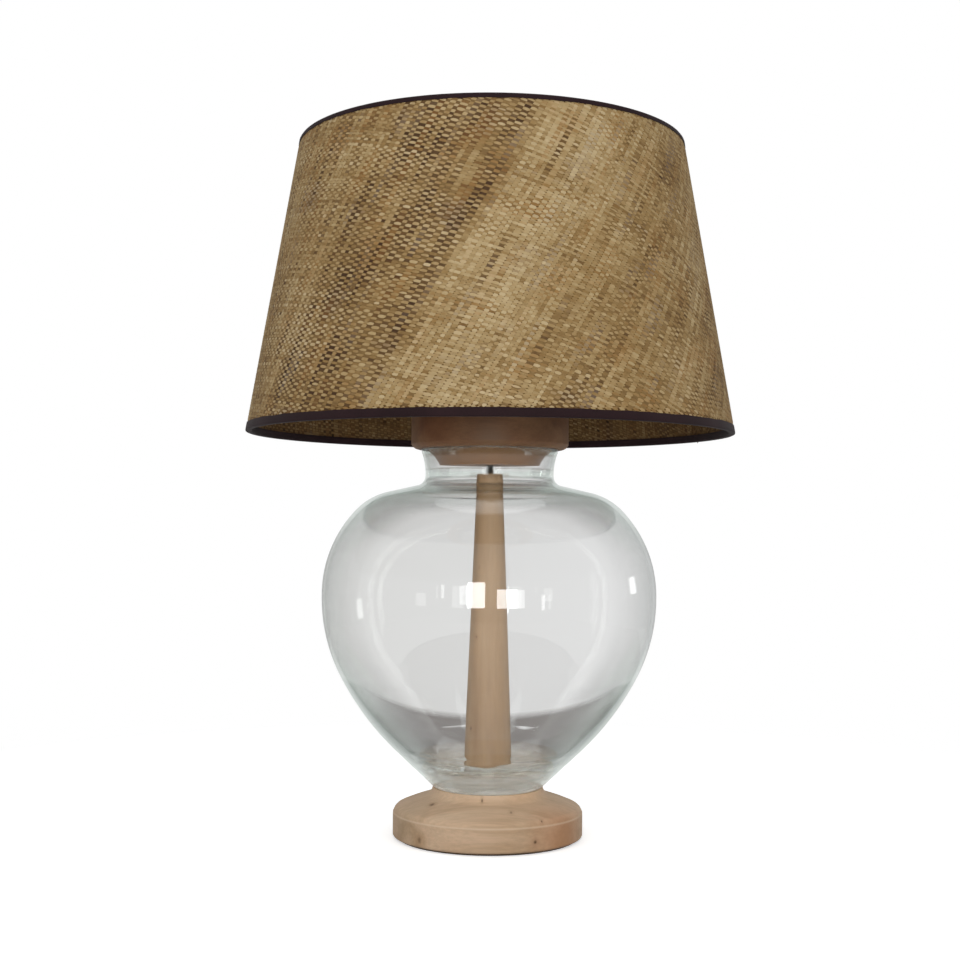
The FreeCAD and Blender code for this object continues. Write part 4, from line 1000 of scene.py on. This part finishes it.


# The wood, with radii in millimetres and colours as 0 to 255: tones from dark to pale, knots
# (place, radius, stretch, strength) and patches of tint or painted light (place, radius, strength,
# tint)
WOOD_TONES = ((182, 150, 116), (207, 176, 145), (219, 192, 162))
COLUMN_TONES = ((144, 113, 82), (161, 131, 99), (173, 145, 114))
# The stopper is the base's wood; its tones are darkened as painted shade for the lampshade's shadow
STOPPER_TONES_PAINTED_SHADE = ((84, 54, 32), (120, 84, 56), (146, 110, 78))
# Height of the base's arris, where the painted highlight runs
BASE_ARRIS_HIGHLIGHT = 23.6 * MM
BASE_KNOTS = [
    ((-0.0506, -0.0420, 0.0366), 2.2, (0.8, 0.7, 0.5), 0.75),
    ((-0.0492, -0.0405, 0.0368), 1.6, (0.8, 0.8, 0.5), 0.6),
    ((-0.0052, -0.0525, 0.0417), 0.9, (1, 0.5, 0.22), 0.8),
    ((0.0203, -0.0670, 0.0345), 1.5, (1, 0.6, 0.5), 0.55),
    ((0.0471, -0.0709, 0.0277), 1.3, (1, 0.9, 0.7), 0.8),
    ((0.0414, -0.0770, 0.0108), 2.0, (1, 1, 1), 1.0),
    ((-0.0602, -0.0633, 0.0091), 2.8, (1, 1, 0.8), 0.5),
    ((-0.0300, 0.0700, 0.0300), 2.4, (1, 1, 0.8), 0.8),
    ((0.0700, 0.0500, 0.0120), 2.2, (1, 1, 1), 0.9),
]
BASE_PATCHES = [
    ((0.066, -0.058, 0.010), 44, 0.62, (186, 132, 92)),
    ((0.030, -0.035, 0.044), 26, 0.35, (200, 156, 114)),
    ((-0.070, -0.040, 0.020), 30, 0.30, (170, 150, 120)),
    ((-0.040, 0.070, 0.020), 36, 0.40, (186, 140, 102)),
]
# The stopper's patches: red-brown tints of its wood, and painted light
STOPPER_TINTS_AND_PAINTED_LIGHT = [
    ((-0.050, -0.050, 0.378), 34, 0.55, (112, 66, 36)),
    ((0.045, -0.055, 0.372), 26, 0.35, (104, 76, 52)),
    # Painted highlight along the disc's lower front edge
    ((0, -0.075, 0.360), 22, 0.35, (140, 112, 84)),
    ((0.030, 0.060, 0.375), 34, 0.45, (112, 70, 40)),
    # Painted light: the plug below the lampshade's shadow, lighter than the shaded disc
    ((0, 0, 0.335), 75, 2.0, (126, 88, 52)),
]
COLUMN_KNOTS = [
    ((-0.0094, -0.0120, 0.2478), 1.0, (1, 1, 0.8), 0.5),
    ((-0.0114, -0.0135, 0.1845), 1.5, (1, 1, 0.9), 0.85),
    ((-0.0143, -0.0144, 0.1142), 1.1, (1, 1, 0.8), 0.6),
    ((-0.0157, -0.0138, 0.0973), 1.6, (1, 1, 0.8), 0.9),
    ((0.0120, 0.0130, 0.2200), 1.3, (1, 1, 0.8), 0.9),
]

STEEL_NODES = ["top_washer", "top_nut", "base_washer", "base_nut", "switch_shaft"]
BRONZED_NODES = ["harp_saddle", "harp", "harp_stud", "harp_sleeve_left", "harp_sleeve_right"]
BRONZED_NODES += ["spider_hub", "spider_arms", "finial", "top_ring", "bottom_ring"]
BRASS_NODES = ["socket_cap", "socket_shell", "centre_contact", "terminal_screws"]
# Metals: name, colour, worn colour, roughness, metallic share, nodes
METALS = [
    ("dark_steel", (96, 93, 86), (130, 126, 118), 0.38, 1.0, STEEL_NODES),
    ("bronzed_metal", (62, 50, 40), (98, 78, 58), 0.42, 0.85, BRONZED_NODES),
    ("sheet_brass", (206, 172, 104), (170, 132, 74), 0.26, 1.0, BRASS_NODES),
    ("plated_thread", (206, 206, 204), (176, 174, 170), 0.24, 1.0, ["screw_shell", "bulb_contact"]),
]
# Plastics and the like: name, colour, roughness, mottle, subsurface share, nodes
PLASTICS = [
    ("pressed_fibre", (168, 148, 118), 0.8, 0.15, 0.0, ["socket_liner"]),
    ("phenolic", (62, 42, 32), 0.35, 0.1, 0.0, ["socket_body", "bulb_insulator"]),
    ("dark_plastic", (38, 33, 30), 0.38, 0.06, 0.0, ["switch_knob", "cord_bush"]),
    ("bulb_housing", (236, 234, 228), 0.45, 0.02, 0.0, ["bulb_collar"]),
    ("bulb_diffuser", (243, 241, 236), 0.55, 0.02, 0.3, ["bulb_globe"]),
    ("soft_washer", (222, 222, 216), 0.6, 0.05, 0.0, ["base_gasket", "foot_gasket"]),
]


def dress_nodes():
    """Materials for the nodes that keep their CAD mesh, and the two threads."""
    base = turned_wood("base_wood", "X", WOOD_TONES, BASE_KNOTS, 1.0, 0.8, BASE_PATCHES, BASE_ARRIS_HIGHLIGHT)
    dress(["turned_base"], base)
    dress(["column"], turned_wood("column_wood", "Z", COLUMN_TONES, COLUMN_KNOTS, 4.0))
    # The stopper carries painted shade in its tones and painted light in some of its patches
    plug = turned_wood("stopper_wood_painted_shade", "X", STOPPER_TONES_PAINTED_SHADE, [], 7.0, 1.0, STOPPER_TINTS_AND_PAINTED_LIGHT, lean=0.3)
    dress(["jar_stopper"], plug)
    dress(["stopper_gasket"], clear_rubber())
    metals = {}
    for name, colour, worn, roughness, metallic, nodes in METALS:
        metals[name] = metal(name, linear(*colour), linear(*worn), roughness, metallic)
        dress(nodes, metals[name])
    for name, colour, roughness, mottle, subsurface, nodes in PLASTICS:
        dress(nodes, plastic(name, linear(*colour), roughness, mottle, subsurface))

    def ends(node):
        return tuple(corner.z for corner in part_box(node))

    column, stopper = ends("column"), ends("jar_stopper")
    seen = [(column[1] - 2 * MM, stopper[0] + 2 * MM), (stopper[1], ends("lamp_tube")[1])]
    where = (metals["dark_steel"], "stand", "dark_steel")
    make_thread("threaded_tube", "lamp_tube", *where, seen, TUBE_THREAD, TUBE_SEGMENTS)
    seen = [ends("bulb_cap")]
    where = (metals["plated_thread"], "bulb", "plated_thread")
    make_thread("bulb_screw", "bulb_cap", *where, seen, CAP_THREAD, CAP_SEGMENTS, rounded=True)


# Camera, light and floor
def set_camera():
    """The photograph's view."""
    data = bpy.data.cameras.new("camera")
    data.sensor_width = SENSOR_WIDTH
    data.lens = FOCAL_PX * SENSOR_WIDTH / FRAME_PX
    data.clip_start, data.clip_end = CAMERA_CLIP
    camera = add_object("camera", data)
    camera.location = CAMERA_PLACE
    camera.rotation_mode = "QUATERNION"
    pitch = Quaternion((1, 0, 0), math.pi / 2 + CAMERA_PITCH)
    roll = Quaternion((0, 0, 1), CAMERA_ROLL)
    camera.rotation_quaternion = Quaternion((0, 0, 1), CAMERA_YAW) @ pitch @ roll
    bpy.context.scene.camera = camera


def add_light(name, place, target, width, height, radiance):
    """A soft rectangular light of a given radiance, aimed at a point."""
    data = bpy.data.lights.new(name, "AREA")
    data.shape = "RECTANGLE"
    data.size, data.size_y = width, height
    data.energy = radiance * width * height * math.pi
    light = add_object(name, data)
    light.location = place
    light.rotation_mode = "QUATERNION"
    light.rotation_quaternion = (Vector(target) - Vector(place)).to_track_quat("-Z", "Y")


def set_lights():
    """Tall windows behind the camera, one at the side, and a soft fill from above."""
    for number, (left, right, low, high, radiance) in enumerate(PANES):
        x, z = (left + right) / 2, (low + high) / 2
        size = (right - left, high - low)
        add_light("pane_%d" % number, (x, -PANE_DISTANCE, z), (x * 0.5, 0, z), *size, radiance)
    for row in SOFT_LIGHTS:
        add_light(*row)


def set_world():
    """White where the camera looks, a soft room for light, grey for gloss, walls for the glass."""
    shader = Shader("room", world=True)
    path = shader.node("LightPath").outputs

    def level(colour, strength=1.0):
        return shader.closure("Background", (*colour, 1), Strength=strength)

    sideways = shader.part(shader.node("TexCoord").outputs["Generated"], "X")
    share = shader.spread(sideways, -WALL_BLEND, WALL_BLEND)
    walls = shader.blend(share, level(WALL_LEFT), level(WALL_RIGHT))
    shown = shader.blend(path["Is Glossy Ray"], level(WHITE, ROOM_LEVEL), level(GLOSS_GREY))
    shown = shader.blend(path["Is Transmission Ray"], shown, walls)
    shown = shader.blend(path["Is Camera Ray"], shown, level(WHITE))
    bpy.context.scene.world = shader.finish(shown)


def set_floor():
    """A floor that looks white and keeps the lamp's shadow. The glass shows its own tones."""
    shader = Shader("pale_floor")
    place = shader.node("SeparateXYZ", {0: shader.place()}).outputs
    path = shader.node("LightPath").outputs

    def step(axis, edge):
        """0 before the edge and 1 past it, or the other way round where its width is negative."""
        middle, half = edge
        return shader.spread(place[axis], middle - half, middle + half)

    sides = shader.times(step(0, BAND_LEFT), step(0, BAND_RIGHT))
    band = shader.times(step(1, BAND_FROM), sides)
    tone = shader.mix(band, (*PALE_TABLE, 1), (*BAND_BEHIND, 1))
    tone = shader.mix(path["Is Camera Ray"], tone, (*WHITE, 1))
    lit = shader.closure("BsdfDiffuse", tone)
    glow = shader.closure("Emission", tone, Strength=FLOOR_GLOW)
    surface = shader.node("AddShader", {0: lit, 1: glow}).outputs[0]
    reach = shader.measure("LENGTH", shader.position())
    fade = shader.times(shader.spread(reach, *SHADOW_REACH), path["Is Camera Ray"])
    surface = shader.blend(fade, surface, shader.closure("Emission", (*WHITE, 1), Strength=1.0))
    plain = shader.closure("BsdfDiffuse", (*PLAIN_FLOOR, 1))
    glossy, diffuse = path["Is Glossy Ray"], path["Is Diffuse Ray"]
    share = shader.times(glossy, PLAIN_IN_GLOSS, diffuse)
    surface = shader.blend(share, surface, plain)
    beyond = shader.times(step(1, BAND_TO), path["Is Transmission Ray"])
    surface = shader.blend(beyond, surface, shader.closure("BsdfTransparent", (*WHITE, 1)))
    material = shader.finish(surface)
    square = ((-1, -1), (1, -1), (1, 1), (-1, 1))
    corners = [(x * FLOOR_REACH, y * FLOOR_REACH, 0) for x, y in square]
    mesh = mesh_of("floor", corners, [(0, 1, 2, 3)])
    mesh.materials.append(material)
    add_object("floor", mesh)


set_camera()
set_world()
set_lights()
set_floor()
dress_nodes()
shade_cone = make_weave()
make_tape("bottom_binding", "bottom_tape", shade_cone, False, BOTTOM_FLAP)
make_tape("top_binding", "top_tape", shade_cone, True, TOP_FLAP)
make_jar()
make_pad()

bpy.context.scene.view_settings.view_transform = "Standard"
